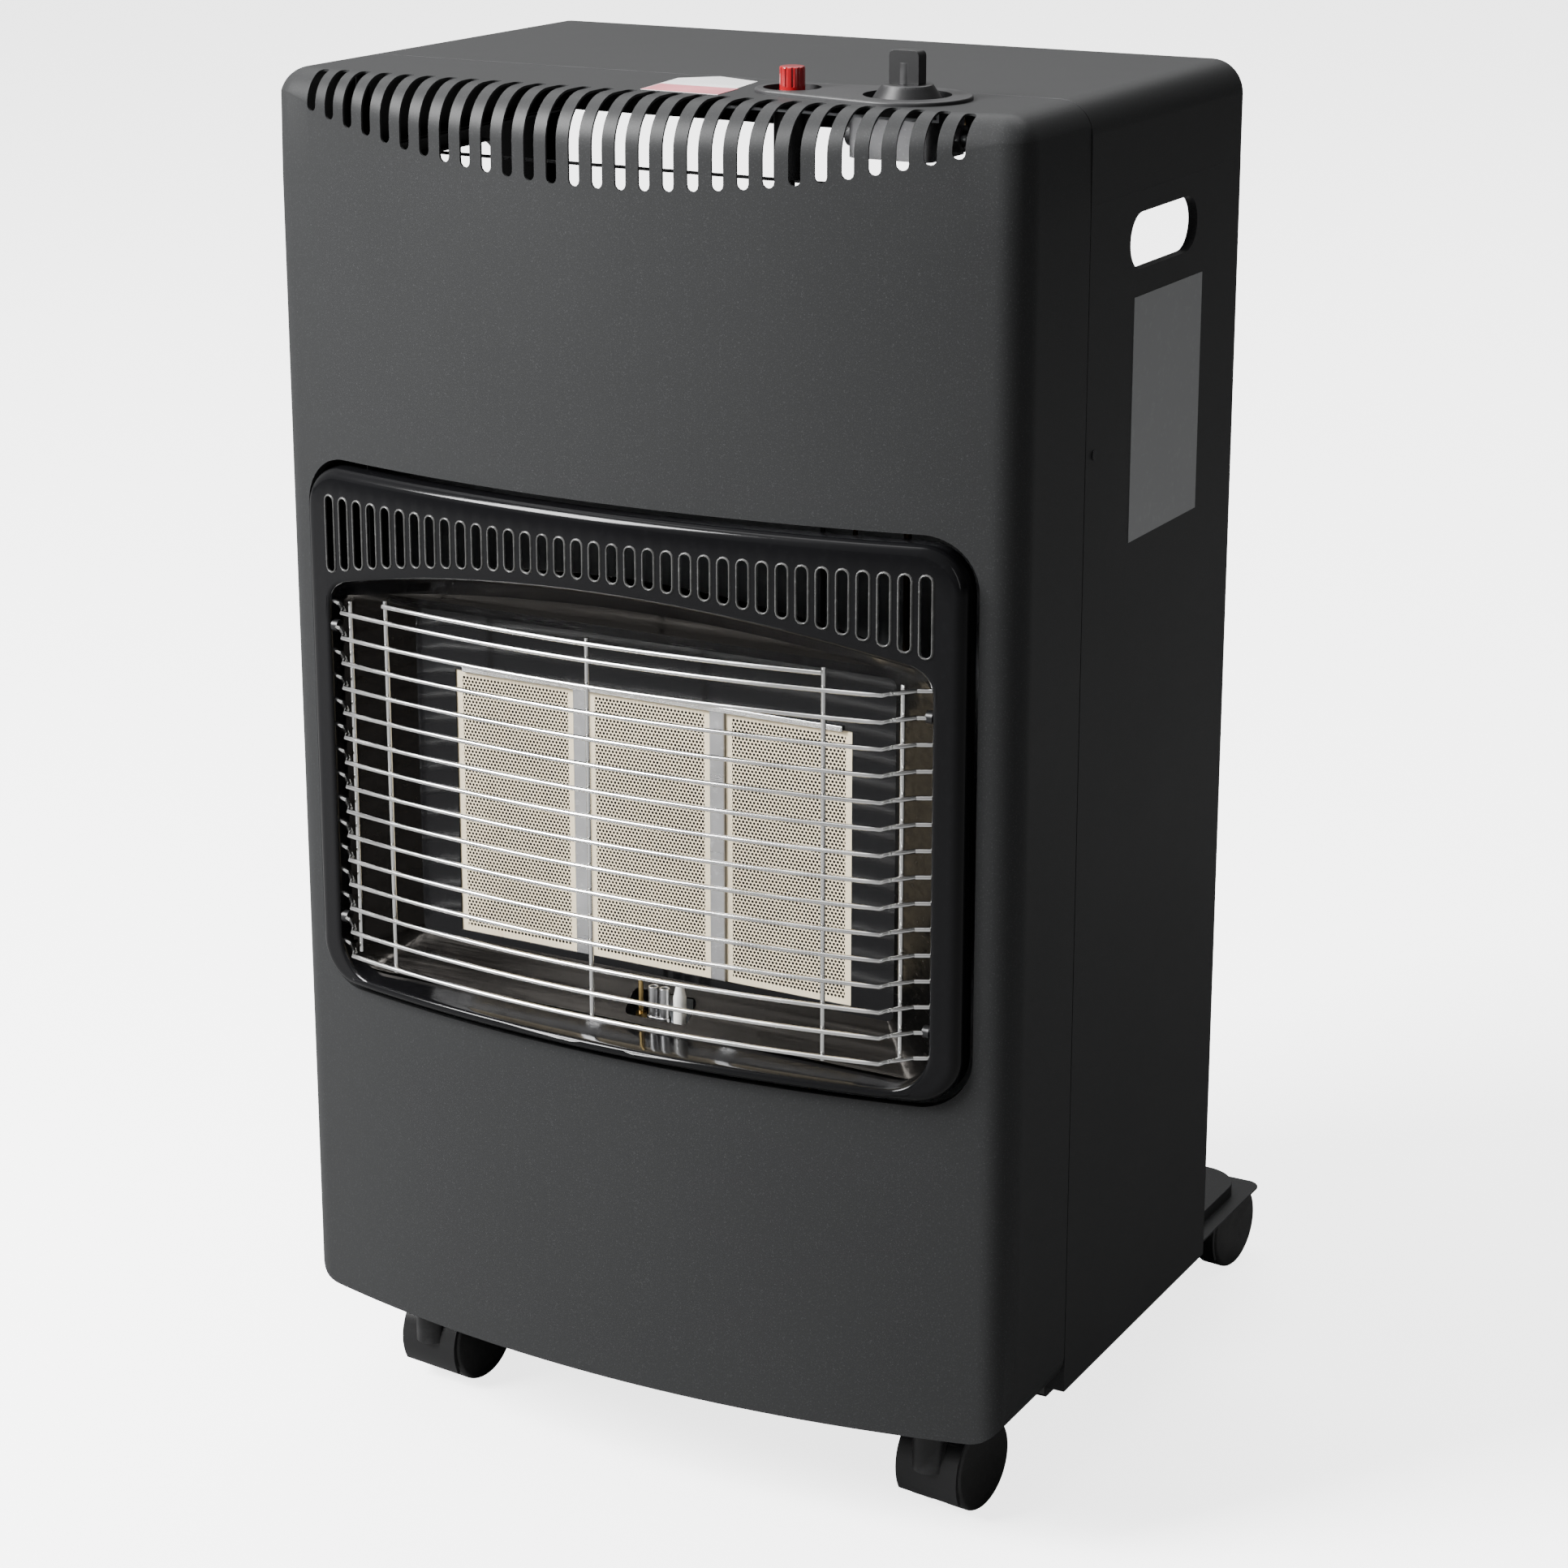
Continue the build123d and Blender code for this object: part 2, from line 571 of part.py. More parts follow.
# ---- surround: a pressed frame that fills the window ------------------------------------------
pad_back = -WINDOW_LIP - SURROUND_SHEET
surround_face = bowed(
    window_outline(-PAD_INSET), mouth_outline(0), PAD_PROUD, back_proud=PAD_PROUD - SURROUND_SHEET
)
surround_skirt = bowed(
    window_outline(-PAD_INSET), window_outline(-PAD_INSET - SURROUND_SHEET), PAD_PROUD, back_proud=pad_back
)
surround_flange = bowed(
    window_outline(SURROUND_FLANGE),
    window_outline(-PAD_INSET - SURROUND_SHEET),
    -WINDOW_LIP,
    back_proud=pad_back,
)
surround_mouth = bowed(
    mouth_outline(SURROUND_SHEET), mouth_outline(0), PAD_PROUD, back_y=MOUTH_BACK_Y
)
grille_xs = [GRILLE_PITCH * (i - (GRILLE_SLOTS - 1) / 2) for i in range(GRILLE_SLOTS)]
guard_zs = [GUARD_LOW_Z + GUARD_PITCH * i for i in range(GUARD_BARS)]

with BuildPart() as burner_surround:
    add(surround_face)
    add(surround_skirt)
    add(surround_flange)
    add(surround_mouth)
    # upright grille slots that grow towards the ends, over the arch
    for x in grille_xs:
        low_z = GRILLE_LOW_Z - x**2 / (2 * MOUTH_ARCH_R)
        with BuildSketch(facing(-BOW_DEPTH + 2 * GUARD_STANDOFF)):
            with Locations((x, (low_z + GRILLE_TOP_Z) / 2)):
                SlotOverall(GRILLE_TOP_Z - low_z, GRILLE_SLOT_W, rotation=90)
        extrude(amount=BOW_DEPTH, mode=Mode.SUBTRACT)
    # holes in the mouth's side walls for the hooked ends of the guard
    for sign in (-1, 1):
        with BuildSketch(side(sign * GUARD_HALF_W)):
            with Locations(*[(GUARD_HOOK_Y, z) for z in guard_zs]):
                Circle(WIRE / 2 + RUNNING_GAP)
        extrude(amount=sign * MOUTH_W / 8, mode=Mode.SUBTRACT)
save(burner_surround, "burner_surround")

# ---- burner frame, plaques and plenums --------------------------------------------------------
with BuildPart() as burner_frame:
    with BuildSketch(facing(FRAME_BACK_Y)):
        with Locations((0, FRAME_MID_Z)):
            RectangleRounded(FRAME_W, FRAME_TOP_Z - FRAME_LOW_Z, REFLECTOR_BACK_R)
        with Locations(*[(x, PLAQUE_MID_Z) for x in PLAQUE_XS]):
            Rectangle(PLAQUE_VIEW_W, PLAQUE_VIEW_H, mode=Mode.SUBTRACT)
    extrude(amount=FRAME_SHEET)
save(burner_frame, "burner_frame")

for label, x in zip(("left", "middle", "right"), PLAQUE_XS):
    with BuildPart() as plaque:
        with BuildSketch(facing(FRAME_BACK_Y)):
            with Locations((x, PLAQUE_MID_Z)):
                RectangleRounded(PLAQUE_W, PLAQUE_H, PLENUM_WALL)
        extrude(amount=-PLAQUE_T)
    save(plaque, f"ceramic_plaque_{label}")

    with BuildPart() as plenum:
        with BuildSketch(facing(FRAME_BACK_Y)):
            with Locations((x, PLAQUE_MID_Z)):
                RectangleRounded(PLAQUE_W + 2 * PLENUM_WALL, PLAQUE_H + 2 * PLENUM_WALL, 2 * PLENUM_WALL)
        extrude(amount=-PLENUM_DEPTH)
        with BuildSketch(facing(FRAME_BACK_Y)):
            with Locations((x, PLAQUE_MID_Z)):
                RectangleRounded(PLAQUE_W, PLAQUE_H, PLENUM_WALL)
        extrude(amount=-PLAQUE_T, mode=Mode.SUBTRACT)
        with BuildSketch(facing(FRAME_BACK_Y + PLAQUE_T)):
            with Locations((x, PLAQUE_MID_Z)):
                Rectangle(PLAQUE_W - 2 * PLENUM_LEDGE, PLAQUE_H - 2 * PLENUM_LEDGE)
        extrude(amount=-(PLENUM_DEPTH - PLAQUE_T - PLENUM_WALL), mode=Mode.SUBTRACT)
        # the mixing tube joins the plenum from below
        with BuildSketch(level(PLENUM_LOW_Z - PLENUM_WALL)):
            with Locations((x, BURNER_AXIS_Y)):
                Circle(MIXER_R - MIXER_WALL)
        extrude(amount=2 * PLENUM_LEDGE, mode=Mode.SUBTRACT)
    save(plenum, f"burner_plenum_{label}")

mixer_low_z = PLENUM_LOW_Z - MIXER_LENGTH
with BuildPart() as mixing_tubes:
    for x in PLAQUE_XS:
        with BuildSketch(level(mixer_low_z)):
            with Locations((x, BURNER_AXIS_Y)):
                Circle(MIXER_BELL_R)
        with BuildSketch(level(mixer_low_z + MIXER_LENGTH / 4)):
            with Locations((x, BURNER_AXIS_Y)):
                Circle(MIXER_R)
        loft()
        with BuildSketch(level(mixer_low_z + MIXER_LENGTH / 4)):
            with Locations((x, BURNER_AXIS_Y)):
                Circle(MIXER_R)
        extrude(amount=MIXER_LENGTH * 3 / 4)
        with BuildSketch(level(mixer_low_z)):
            with Locations((x, BURNER_AXIS_Y)):
                Circle(MIXER_R - MIXER_WALL)
        extrude(amount=MIXER_LENGTH, mode=Mode.SUBTRACT)
save(mixing_tubes, "mixing_tubes")

# ---- gas rail with three injectors ------------------------------------------------------------
rail_start_x = -PLAQUE_PITCH - 3 * INJECTOR_R
with BuildPart() as gas_manifold:
    with BuildSketch(side(rail_start_x)):
        with Locations((BURNER_AXIS_Y, MANIFOLD_Z)):
            Circle(MANIFOLD_R)
    extrude(amount=MANIFOLD_END_X - rail_start_x)
    with BuildSketch(side(rail_start_x + 2 * SHEET)):
        with Locations((BURNER_AXIS_Y, MANIFOLD_Z)):
            Circle(MANIFOLD_BORE_R)
    extrude(amount=MANIFOLD_END_X - rail_start_x, mode=Mode.SUBTRACT)
    with BuildSketch(level(MANIFOLD_Z)):
        with Locations(*[(x, BURNER_AXIS_Y) for x in PLAQUE_XS]):
            Circle(INJECTOR_R / 2)
    extrude(amount=MANIFOLD_R + SHEET, mode=Mode.SUBTRACT)
save(gas_manifold, "gas_manifold")

with BuildPart() as injectors:
    for x in PLAQUE_XS:
        with BuildSketch(level(MANIFOLD_Z + MANIFOLD_R)):
            with Locations((x, BURNER_AXIS_Y)):
                RegularPolygon(INJECTOR_R, 6)
        extrude(amount=INJECTOR_H / 2)
        with BuildSketch(level(MANIFOLD_Z)):
            with Locations((x, BURNER_AXIS_Y)):
                Circle(INJECTOR_R / 2)
        extrude(amount=MANIFOLD_R + INJECTOR_H)
        with BuildSketch(level(MANIFOLD_Z)):
            with Locations((x, BURNER_AXIS_Y)):
                Circle(INJECTOR_R / 6)
        extrude(amount=MANIFOLD_R + INJECTOR_H, mode=Mode.SUBTRACT)
save(injectors, "injectors")

# ---- brackets that carry the burner and the gas rail on the heat shield -----------------------
bracket_x = FRAME_W / 2 - BRACKET_SHEET
rail_bracket_xs = (-PLAQUE_PITCH / 2, PLAQUE_PITCH / 2)
with BuildPart() as burner_brackets:
    for sign in (-1, 1):
        with BuildSketch(level(PLAQUE_MID_Z - PLAQUE_H / 4)):
            with Locations((sign * bracket_x, (FRAME_BACK_Y + SHEET) / 2)):
                Rectangle(BRACKET_SHEET, SHEET - FRAME_BACK_Y)
            with Locations((sign * (bracket_x + RETURN_FLANGE / 2), SHEET - BRACKET_SHEET / 2)):
                Rectangle(RETURN_FLANGE, BRACKET_SHEET)
        extrude(amount=PLAQUE_H / 2)
    for x in rail_bracket_xs:
        with BuildSketch(side(x - RETURN_FLANGE / 2)):
            with Locations((BURNER_AXIS_Y, MANIFOLD_Z)):
                Circle(MANIFOLD_R + BRACKET_SHEET)
            with Locations(((BURNER_AXIS_Y + SHEET) / 2, MANIFOLD_Z + MANIFOLD_R)):
                Rectangle(SHEET - BURNER_AXIS_Y, BRACKET_SHEET)
            with Locations((SHEET - BRACKET_SHEET / 2, MANIFOLD_Z + MANIFOLD_R)):
                Rectangle(BRACKET_SHEET, 2 * RETURN_FLANGE)
            with Locations((BURNER_AXIS_Y, MANIFOLD_Z)):
                Circle(MANIFOLD_R, mode=Mode.SUBTRACT)
        extrude(amount=RETURN_FLANGE)
save(burner_brackets, "burner_brackets")

# ---- reflector: a flared box from the mouth back to the burner frame ---------------------------
reflector_front_w = MOUTH_W - 2 * REFLECTOR_FLANGE
reflector_low_z = MOUTH_LOW_Z + REFLECTOR_FLANGE
reflector_top_z = MOUTH_TOP_Z - (MOUTH_W / 2) ** 2 / (2 * MOUTH_ARCH_R) - REFLECTOR_FLANGE


def flare(grow):
    """Hollow of the reflector between the mouth and the burner frame, moved outwards by `grow`."""
    with BuildPart() as form:
        with BuildSketch(facing(BURNER_FACE_Y)):
            with Locations((0, (REFLECTOR_BACK_LOW_Z + REFLECTOR_BACK_TOP_Z) / 2)):
                RectangleRounded(
                    REFLECTOR_BACK_W + 2 * grow,
                    REFLECTOR_BACK_TOP_Z - REFLECTOR_BACK_LOW_Z + 2 * grow,
                    REFLECTOR_BACK_R + grow,
                )
        with BuildSketch(facing(MOUTH_BACK_Y)):
            with Locations((0, (reflector_low_z + reflector_top_z) / 2)):
                RectangleRounded(
                    reflector_front_w + 2 * grow,
                    reflector_top_z - reflector_low_z + 2 * grow,
                    REFLECTOR_FRONT_R + grow,
                )
        loft()
    return form.part


flare_outer = flare(REFLECTOR_SHEET)
flare_inner = flare(0.0)
with BuildPart() as reflector:
    add(flare_outer)
    # rim that lies behind the surround's mouth
    extrude(mouth_outline(REFLECTOR_RIM, MOUTH_BACK_Y), amount=-REFLECTOR_SHEET)
    add(flare_inner, mode=Mode.SUBTRACT)
    # slot in the floor for the pilot
    with BuildSketch(level(PILOT_BASE_Z)):
        with Locations(((THERMOCOUPLE_X + CERAMIC_X) / 2, PILOT_Y)):
            RectangleRounded(
                CERAMIC_X - THERMOCOUPLE_X + 2 * PILOT_SLOT_END, PILOT_SLOT_W, PILOT_SLOT_W / 4
            )
    extrude(amount=PILOT_TOP_Z - PILOT_BASE_Z, mode=Mode.SUBTRACT)
save(reflector, "reflector")

# ---- wire guard -------------------------------------------------------------------------------
with BuildPart() as guard_bar:
    with BuildLine(level(0)) as bar_path:
        ThreePointArc(
            (-GUARD_HALF_W, bow_y(GUARD_HALF_W, GUARD_STANDOFF)),
            (0, -BOW_DEPTH - GUARD_STANDOFF),
            (GUARD_HALF_W, bow_y(GUARD_HALF_W, GUARD_STANDOFF)),
        )
        for sign in (-1, 1):
            Polyline(
                (sign * GUARD_HALF_W, bow_y(GUARD_HALF_W, GUARD_STANDOFF)),
                (sign * GUARD_HALF_W, GUARD_HOOK_Y),
                (sign * (MOUTH_W / 2 + SURROUND_SHEET), GUARD_HOOK_Y),
            )
        inner_corners = bar_path.vertices().filter_by_position(
            Axis.X, -GUARD_HALF_W - 0.1, GUARD_HALF_W + 0.1
        )
        fillet(inner_corners, radius=GUARD_BEND_R)
    bar_wire = bar_path.wire()
    with BuildSketch(Plane(origin=bar_wire @ 0, z_dir=bar_wire % 0)):
        Circle(WIRE / 2)
    sweep(path=bar_wire)

with BuildPart() as crown_bar:
    crown_y = bow_y(GUARD_UPRIGHT_X, GUARD_STANDOFF)
    with BuildLine(level(0)) as crown_path:
        ThreePointArc(
            (-GUARD_UPRIGHT_X, crown_y),
            (0, -BOW_DEPTH - GUARD_STANDOFF),
            (GUARD_UPRIGHT_X, crown_y),
        )
    with BuildSketch(Plane(origin=crown_path.line @ 0, z_dir=crown_path.line % 0)):
        Circle(WIRE / 2)
    sweep(path=crown_path.wire())

with BuildPart() as guard_bars:
    with Locations(*[(0, 0, z) for z in guard_zs]):
        add(guard_bar.part)
    with Locations((0, 0, GUARD_CROWN_Z)):
        add(crown_bar.part)
save(guard_bars, "guard_bars")

with BuildPart() as guard_uprights:
    for x in (-GUARD_UPRIGHT_X, 0.0, GUARD_UPRIGHT_X):
        with BuildSketch(level(GUARD_LOW_Z - WIRE)):
            with Locations((x, bow_y(x, GUARD_STANDOFF - WIRE))):
                Circle(WIRE / 2)
        extrude(amount=GUARD_CROWN_Z - GUARD_LOW_Z + 2 * WIRE)
    for sign in (-1, 1):
        with BuildSketch(level(GUARD_LOW_Z - WIRE)):
            with Locations((sign * (GUARD_HALF_W - WIRE), GUARD_HOOK_Y - GUARD_BEND_R)):
                Circle(WIRE / 2)
        extrude(amount=GUARD_TOP_Z - GUARD_LOW_Z + 2 * WIRE)
save(guard_uprights, "guard_uprights")

with BuildPart() as guard_clips:
    for sign in (-1, 1):
        with BuildSketch(side(sign * (MOUTH_W / 2 - CLIP_LENGTH))):
            with Locations(*[(GUARD_HOOK_Y, guard_zs[i]) for i in (1, GUARD_BARS - 2)]):
                Circle(CLIP_R)
                Circle(WIRE / 2, mode=Mode.SUBTRACT)
        extrude(amount=sign * CLIP_LENGTH)
save(guard_clips, "guard_clips")

# ---- pilot ------------------------------------------------------------------------------------
pilot_mid_x = (THERMOCOUPLE_X + CERAMIC_X) / 2
pilot_burner_x = sum(PILOT_TUBE_X) / 2
pilot_seat_z = PILOT_BASE_Z + BRACKET_SHEET
pilot_foot_back_y = FRAME_BACK_Y + BRACKET_SHEET
pilot_foot_front_y = PILOT_Y - PILOT_SLOT_W / 2
with BuildPart() as pilot_bracket:
    with BuildSketch(level(PILOT_BASE_Z)):
        with Locations((pilot_mid_x, (pilot_foot_front_y + pilot_foot_back_y) / 2)):
            Rectangle(
                CERAMIC_X - THERMOCOUPLE_X + 2 * PILOT_SLOT_END, pilot_foot_back_y - pilot_foot_front_y
            )
    extrude(amount=BRACKET_SHEET)
    # ear that stands up behind the burner frame's lower edge
    with BuildSketch(facing(FRAME_BACK_Y)):
        with Locations((pilot_mid_x, (PILOT_BASE_Z + PLENUM_LOW_Z) / 2)):
            Rectangle(CERAMIC_X - THERMOCOUPLE_X, PLENUM_LOW_Z - PILOT_BASE_Z)
    extrude(amount=-BRACKET_SHEET)
save(pilot_bracket, "pilot_bracket")

with BuildPart() as pilot_burner:
    with BuildSketch(level(pilot_seat_z)):
        with Locations((pilot_burner_x, PILOT_Y)):
            RectangleRounded(
                PILOT_TUBE_X[1] - PILOT_TUBE_X[0] + 2 * PILOT_TUBE_R + 1.0,
                2 * PILOT_TUBE_R + 1.0,
                PILOT_TUBE_R,
            )
    extrude(amount=3 * PILOT_TUBE_R)
    with BuildSketch(level(pilot_seat_z)):
        with Locations(*[(x, PILOT_Y) for x in PILOT_TUBE_X]):
            Circle(PILOT_TUBE_R)
    extrude(amount=PILOT_TOP_Z - pilot_seat_z)
    with BuildSketch(level(PILOT_TOP_Z)):
        with Locations(*[(x, PILOT_Y) for x in PILOT_TUBE_X]):
            Circle(PILOT_TUBE_R - PLENUM_WALL)
    extrude(amount=-4 * PILOT_TUBE_R, mode=Mode.SUBTRACT)
save(pilot_burner, "pilot_burner")

with BuildPart() as thermocouple_tip:
    with BuildSketch(level(pilot_seat_z)):
        with Locations((THERMOCOUPLE_X, PILOT_Y)):
            RegularPolygon(3.2, 6)
    extrude(amount=8.0)
    with BuildSketch(level(pilot_seat_z)):
        with Locations((THERMOCOUPLE_X, PILOT_Y)):
            Circle(LEAD_R)
    extrude(amount=PILOT_TOP_Z + PILOT_TUBE_R - pilot_seat_z)
save(thermocouple_tip, "thermocouple_tip")

with BuildPart() as spark_insulator:
    with BuildSketch(level(pilot_seat_z)):
        with Locations((CERAMIC_X, PILOT_Y)):
            Circle(CERAMIC_R)
    extrude(amount=PILOT_TOP_Z - CERAMIC_R - pilot_seat_z)
    with BuildSketch(level(PILOT_TOP_Z - CERAMIC_R)):
        with Locations((CERAMIC_X, PILOT_Y)):
            Circle(CERAMIC_R)
    with BuildSketch(level(PILOT_TOP_Z + CERAMIC_R)):
        with Locations((CERAMIC_X, PILOT_Y)):
            Circle(CERAMIC_NECK_R)
    loft()
save(spark_insulator, "spark_insulator")

# ---- controls ---------------------------------------------------------------------------------
with BuildPart() as control_plate:
    with BuildSketch(level(CABINET_TOP_Z)) as plate_outline:
        with Locations((KNOB_X, KNOB_Y)):
            Circle(PLATE_KNOB_R)
        with Locations((BUTTON_X, BUTTON_Y)):
            Circle(PLATE_BUTTON_R)
        make_hull()
    extrude(amount=PLATE_T)
    fillet(control_plate.faces().sort_by(Axis.Z)[-1].edges(), radius=PLATE_EDGE_R)
    for x, y, cup_r, hole_r in (
        (KNOB_X, KNOB_Y, KNOB_CUP_R, SPINDLE_R + RUNNING_GAP),
        (BUTTON_X, BUTTON_Y, BUTTON_CUP_R, BUTTON_R + RUNNING_GAP),
    ):
        with BuildSketch(level(CUP_FLOOR_Z)):
            with Locations((x, y)):
                Circle(cup_r + CUP_WALL)
        extrude(amount=CUP_DEPTH)
        with BuildSketch(level(CUP_FLOOR_Z + CUP_WALL)):
            with Locations((x, y)):
                Circle(cup_r)
        extrude(amount=CUP_DEPTH + PLATE_T, mode=Mode.SUBTRACT)
        with BuildSketch(level(CUP_FLOOR_Z)):
            with Locations((x, y)):
                Circle(hole_r)
        extrude(amount=CUP_WALL, mode=Mode.SUBTRACT)
save(control_plate, "control_plate")

bracket_top_z = CUP_FLOOR_Z
bracket_low_z = CUP_FLOOR_Z - CONTROL_SHEET
with BuildPart() as control_bracket:
    with BuildSketch(level(bracket_low_z)):
        with Locations(((BUTTON_X + KNOB_X) / 2, KNOB_Y)):
            Rectangle(KNOB_X - BUTTON_X + 2 * (KNOB_CUP_R + CUP_WALL + 4.0), VALVE_D)
        with Locations((KNOB_X, KNOB_Y)):
            Circle(SPINDLE_R + 2.0, mode=Mode.SUBTRACT)
        with Locations((BUTTON_X, BUTTON_Y)):
            Circle(BUTTON_R + RUNNING_GAP, mode=Mode.SUBTRACT)
    extrude(amount=CONTROL_SHEET)
    # upright ears that hang the bracket from the top of the front cover
    ear_x = (KNOB_X - BUTTON_X) / 2 + KNOB_CUP_R + CUP_WALL + 4.0 - CONTROL_SHEET / 2
    for sign in (-1, 1):
        with BuildSketch(level(bracket_top_z)):
            with Locations(((BUTTON_X + KNOB_X) / 2 + sign * ear_x, KNOB_Y)):
                Rectangle(CONTROL_SHEET, VALVE_D)
        extrude(amount=CABINET_TOP_Z - SHEET - bracket_top_z)
save(control_bracket, "control_bracket")

valve_low_z = bracket_low_z - VALVE_H
valve_mid_z = bracket_low_z - VALVE_H / 2
with BuildPart() as valve_body:
    with BuildSketch(level(valve_low_z)):
        with Locations((KNOB_X, KNOB_Y)):
            RectangleRounded(VALVE_W, VALVE_D, 5.0)
    extrude(amount=VALVE_H)
    # magnet unit on the left, burner outlet on the right
    with BuildSketch(side(KNOB_X - VALVE_W / 2)):
        with Locations((KNOB_Y, valve_mid_z)):
            Circle(VALVE_PORT_R)
    extrude(amount=-VALVE_PORT)
    with BuildSketch(side(KNOB_X + VALVE_W / 2)):
        with Locations((KNOB_Y, valve_mid_z)):
            RegularPolygon(VALVE_PORT_R, 6)
    extrude(amount=VALVE_PORT)
    # inlet boss at the back
    with BuildSketch(facing(KNOB_Y + VALVE_D / 2)):
        with Locations((KNOB_X, valve_mid_z)):
            RegularPolygon(VALVE_PORT_R, 6)
    extrude(amount=-VALVE_PORT)
    # bore for the foot of the spindle
    with BuildSketch(level(bracket_low_z)):
        with Locations((KNOB_X, KNOB_Y)):
            Circle(SPINDLE_R + RUNNING_GAP)
    extrude(amount=-VALVE_H * 0.6, mode=Mode.SUBTRACT)
save(valve_body, "valve_body")

nozzle_y = KNOB_Y + VALVE_D / 2 + VALVE_PORT
with BuildPart() as inlet_nozzle:
    with BuildSketch(facing(nozzle_y)):
        with Locations((KNOB_X, valve_mid_z)):
            Circle(NOZZLE_R)
    extrude(amount=-NOZZLE_LENGTH)
    for i in range(NOZZLE_BARBS):
        barb_y = nozzle_y + NOZZLE_LENGTH * (0.95 - (i + 1) / (NOZZLE_BARBS + 1))
        with BuildSketch(facing(barb_y)):
            with Locations((KNOB_X, valve_mid_z)):
                Circle(NOZZLE_R + NOZZLE_BARB_H)
        with BuildSketch(facing(barb_y + 4 * NOZZLE_BARB_H)):
            with Locations((KNOB_X, valve_mid_z)):
                Circle(NOZZLE_R)
        loft()
    with BuildSketch(facing(nozzle_y)):
        with Locations((KNOB_X, valve_mid_z)):
            Circle(NOZZLE_BORE_R)
    extrude(amount=-NOZZLE_LENGTH, mode=Mode.SUBTRACT)
save(inlet_nozzle, "inlet_nozzle")

spindle_low_z = bracket_low_z - VALVE_H * 0.6 + 0.5
knob_top_z = PLATE_TOP_Z + KNOB_TOP_RISE
knob_low_z = CUP_FLOOR_Z + CUP_WALL + KNOB_PUSH + 0.5
spindle_top_z = knob_top_z - KNOB_PUSH - 7.0
with BuildPart() as valve_spindle:
    with BuildSketch(level(spindle_low_z)):
        with Locations((KNOB_X, KNOB_Y)):
            Circle(SPINDLE_R)
    extrude(amount=spindle_top_z - spindle_low_z)
save(valve_spindle, "valve_spindle")

skirt_top_z = knob_low_z + KNOB_SKIRT_H
with BuildPart() as knob_skirt:
    with BuildSketch(level(knob_low_z)):
        with Locations((KNOB_X, KNOB_Y)):
            Circle(KNOB_SKIRT_R)
    with BuildSketch(level(skirt_top_z)):
        with Locations((KNOB_X, KNOB_Y)):
            Circle(KNOB_SKIRT_TOP_R)
    loft()
    with BuildSketch(level(knob_low_z)):
        with Locations((KNOB_X, KNOB_Y)):
            Circle(SPINDLE_R + RUNNING_GAP)
    extrude(amount=KNOB_SKIRT_H, mode=Mode.SUBTRACT)
save(knob_skirt, "knob_skirt")

with BuildPart() as control_knob:
    # flat blade grip with rounded upper corners, on the skirt
    with BuildSketch(facing(KNOB_Y + KNOB_GRIP_T / 2)) as blade:
        with Locations((KNOB_X, (skirt_top_z + knob_top_z) / 2)):
            Rectangle(KNOB_GRIP_W, knob_top_z - skirt_top_z)
        fillet(blade.vertices().group_by(Axis.Y)[-1], radius=3.0)
    extrude(amount=KNOB_GRIP_T)
    with BuildSketch(level(skirt_top_z)):
        with Locations((KNOB_X, KNOB_Y)):
            Circle(SPINDLE_R + KNOB_BOSS_WALL)
    extrude(amount=spindle_top_z + KNOB_PUSH + 1.0 - skirt_top_z)
    with BuildSketch(level(skirt_top_z)):
        with Locations((KNOB_X, KNOB_Y)):
            Circle(SPINDLE_R + RUNNING_GAP)
    extrude(amount=spindle_top_z + KNOB_PUSH + 0.5 - skirt_top_z, mode=Mode.SUBTRACT)
save(control_knob, "control_knob")

button_top_z = PLATE_TOP_Z + BUTTON_RISE
button_low_z = bracket_low_z - 8.0
with BuildPart() as igniter_button:
    with BuildSketch(level(button_low_z)):
        with Locations((BUTTON_X, BUTTON_Y)):
            Circle(BUTTON_R)
    extrude(amount=button_top_z - button_low_z)
    fillet(igniter_button.faces().sort_by(Axis.Z)[-1].edges(), radius=1.0)
    # flutes round the cap
    with BuildSketch(level(CABINET_TOP_Z + BUTTON_TRAVEL - CUP_DEPTH + CUP_WALL + 1.0)):
        with Locations((BUTTON_X, BUTTON_Y)):
            with PolarLocations(BUTTON_R + 0.4, 12):
                Circle(0.9)
    extrude(amount=button_top_z, mode=Mode.SUBTRACT)
save(igniter_button, "igniter_button")

with BuildPart() as piezo_igniter:
    with BuildSketch(level(bracket_low_z - PIEZO_LENGTH)):
        with Locations((BUTTON_X, BUTTON_Y)):
            Circle(PIEZO_R)
    extrude(amount=PIEZO_LENGTH)
    with BuildSketch(level(bracket_low_z)):
        with Locations((BUTTON_X, BUTTON_Y)):
            Circle(BUTTON_R + RUNNING_GAP)
    extrude(amount=-(8.0 + BUTTON_TRAVEL + 1.0), mode=Mode.SUBTRACT)
save(piezo_igniter, "piezo_igniter")

# ---- pipes and leads --------------------------------------------------------------------------


def bent_rod(points, radius, bend_r, bore_r=0.0):
    """Round rod or tube through `points`, its corners rounded; Y is counted from the seam."""
    with BuildPart() as rod:
        with BuildLine() as path:
            FilletPolyline(*[(x, SEAM_Y + y, z) for x, y, z in points], radius=bend_r)
        with BuildSketch(Plane(origin=path.line @ 0, z_dir=path.line % 0)):
            Circle(radius)
            if bore_r:
                Circle(bore_r, mode=Mode.SUBTRACT)
        sweep(path=path.wire())
    return rod


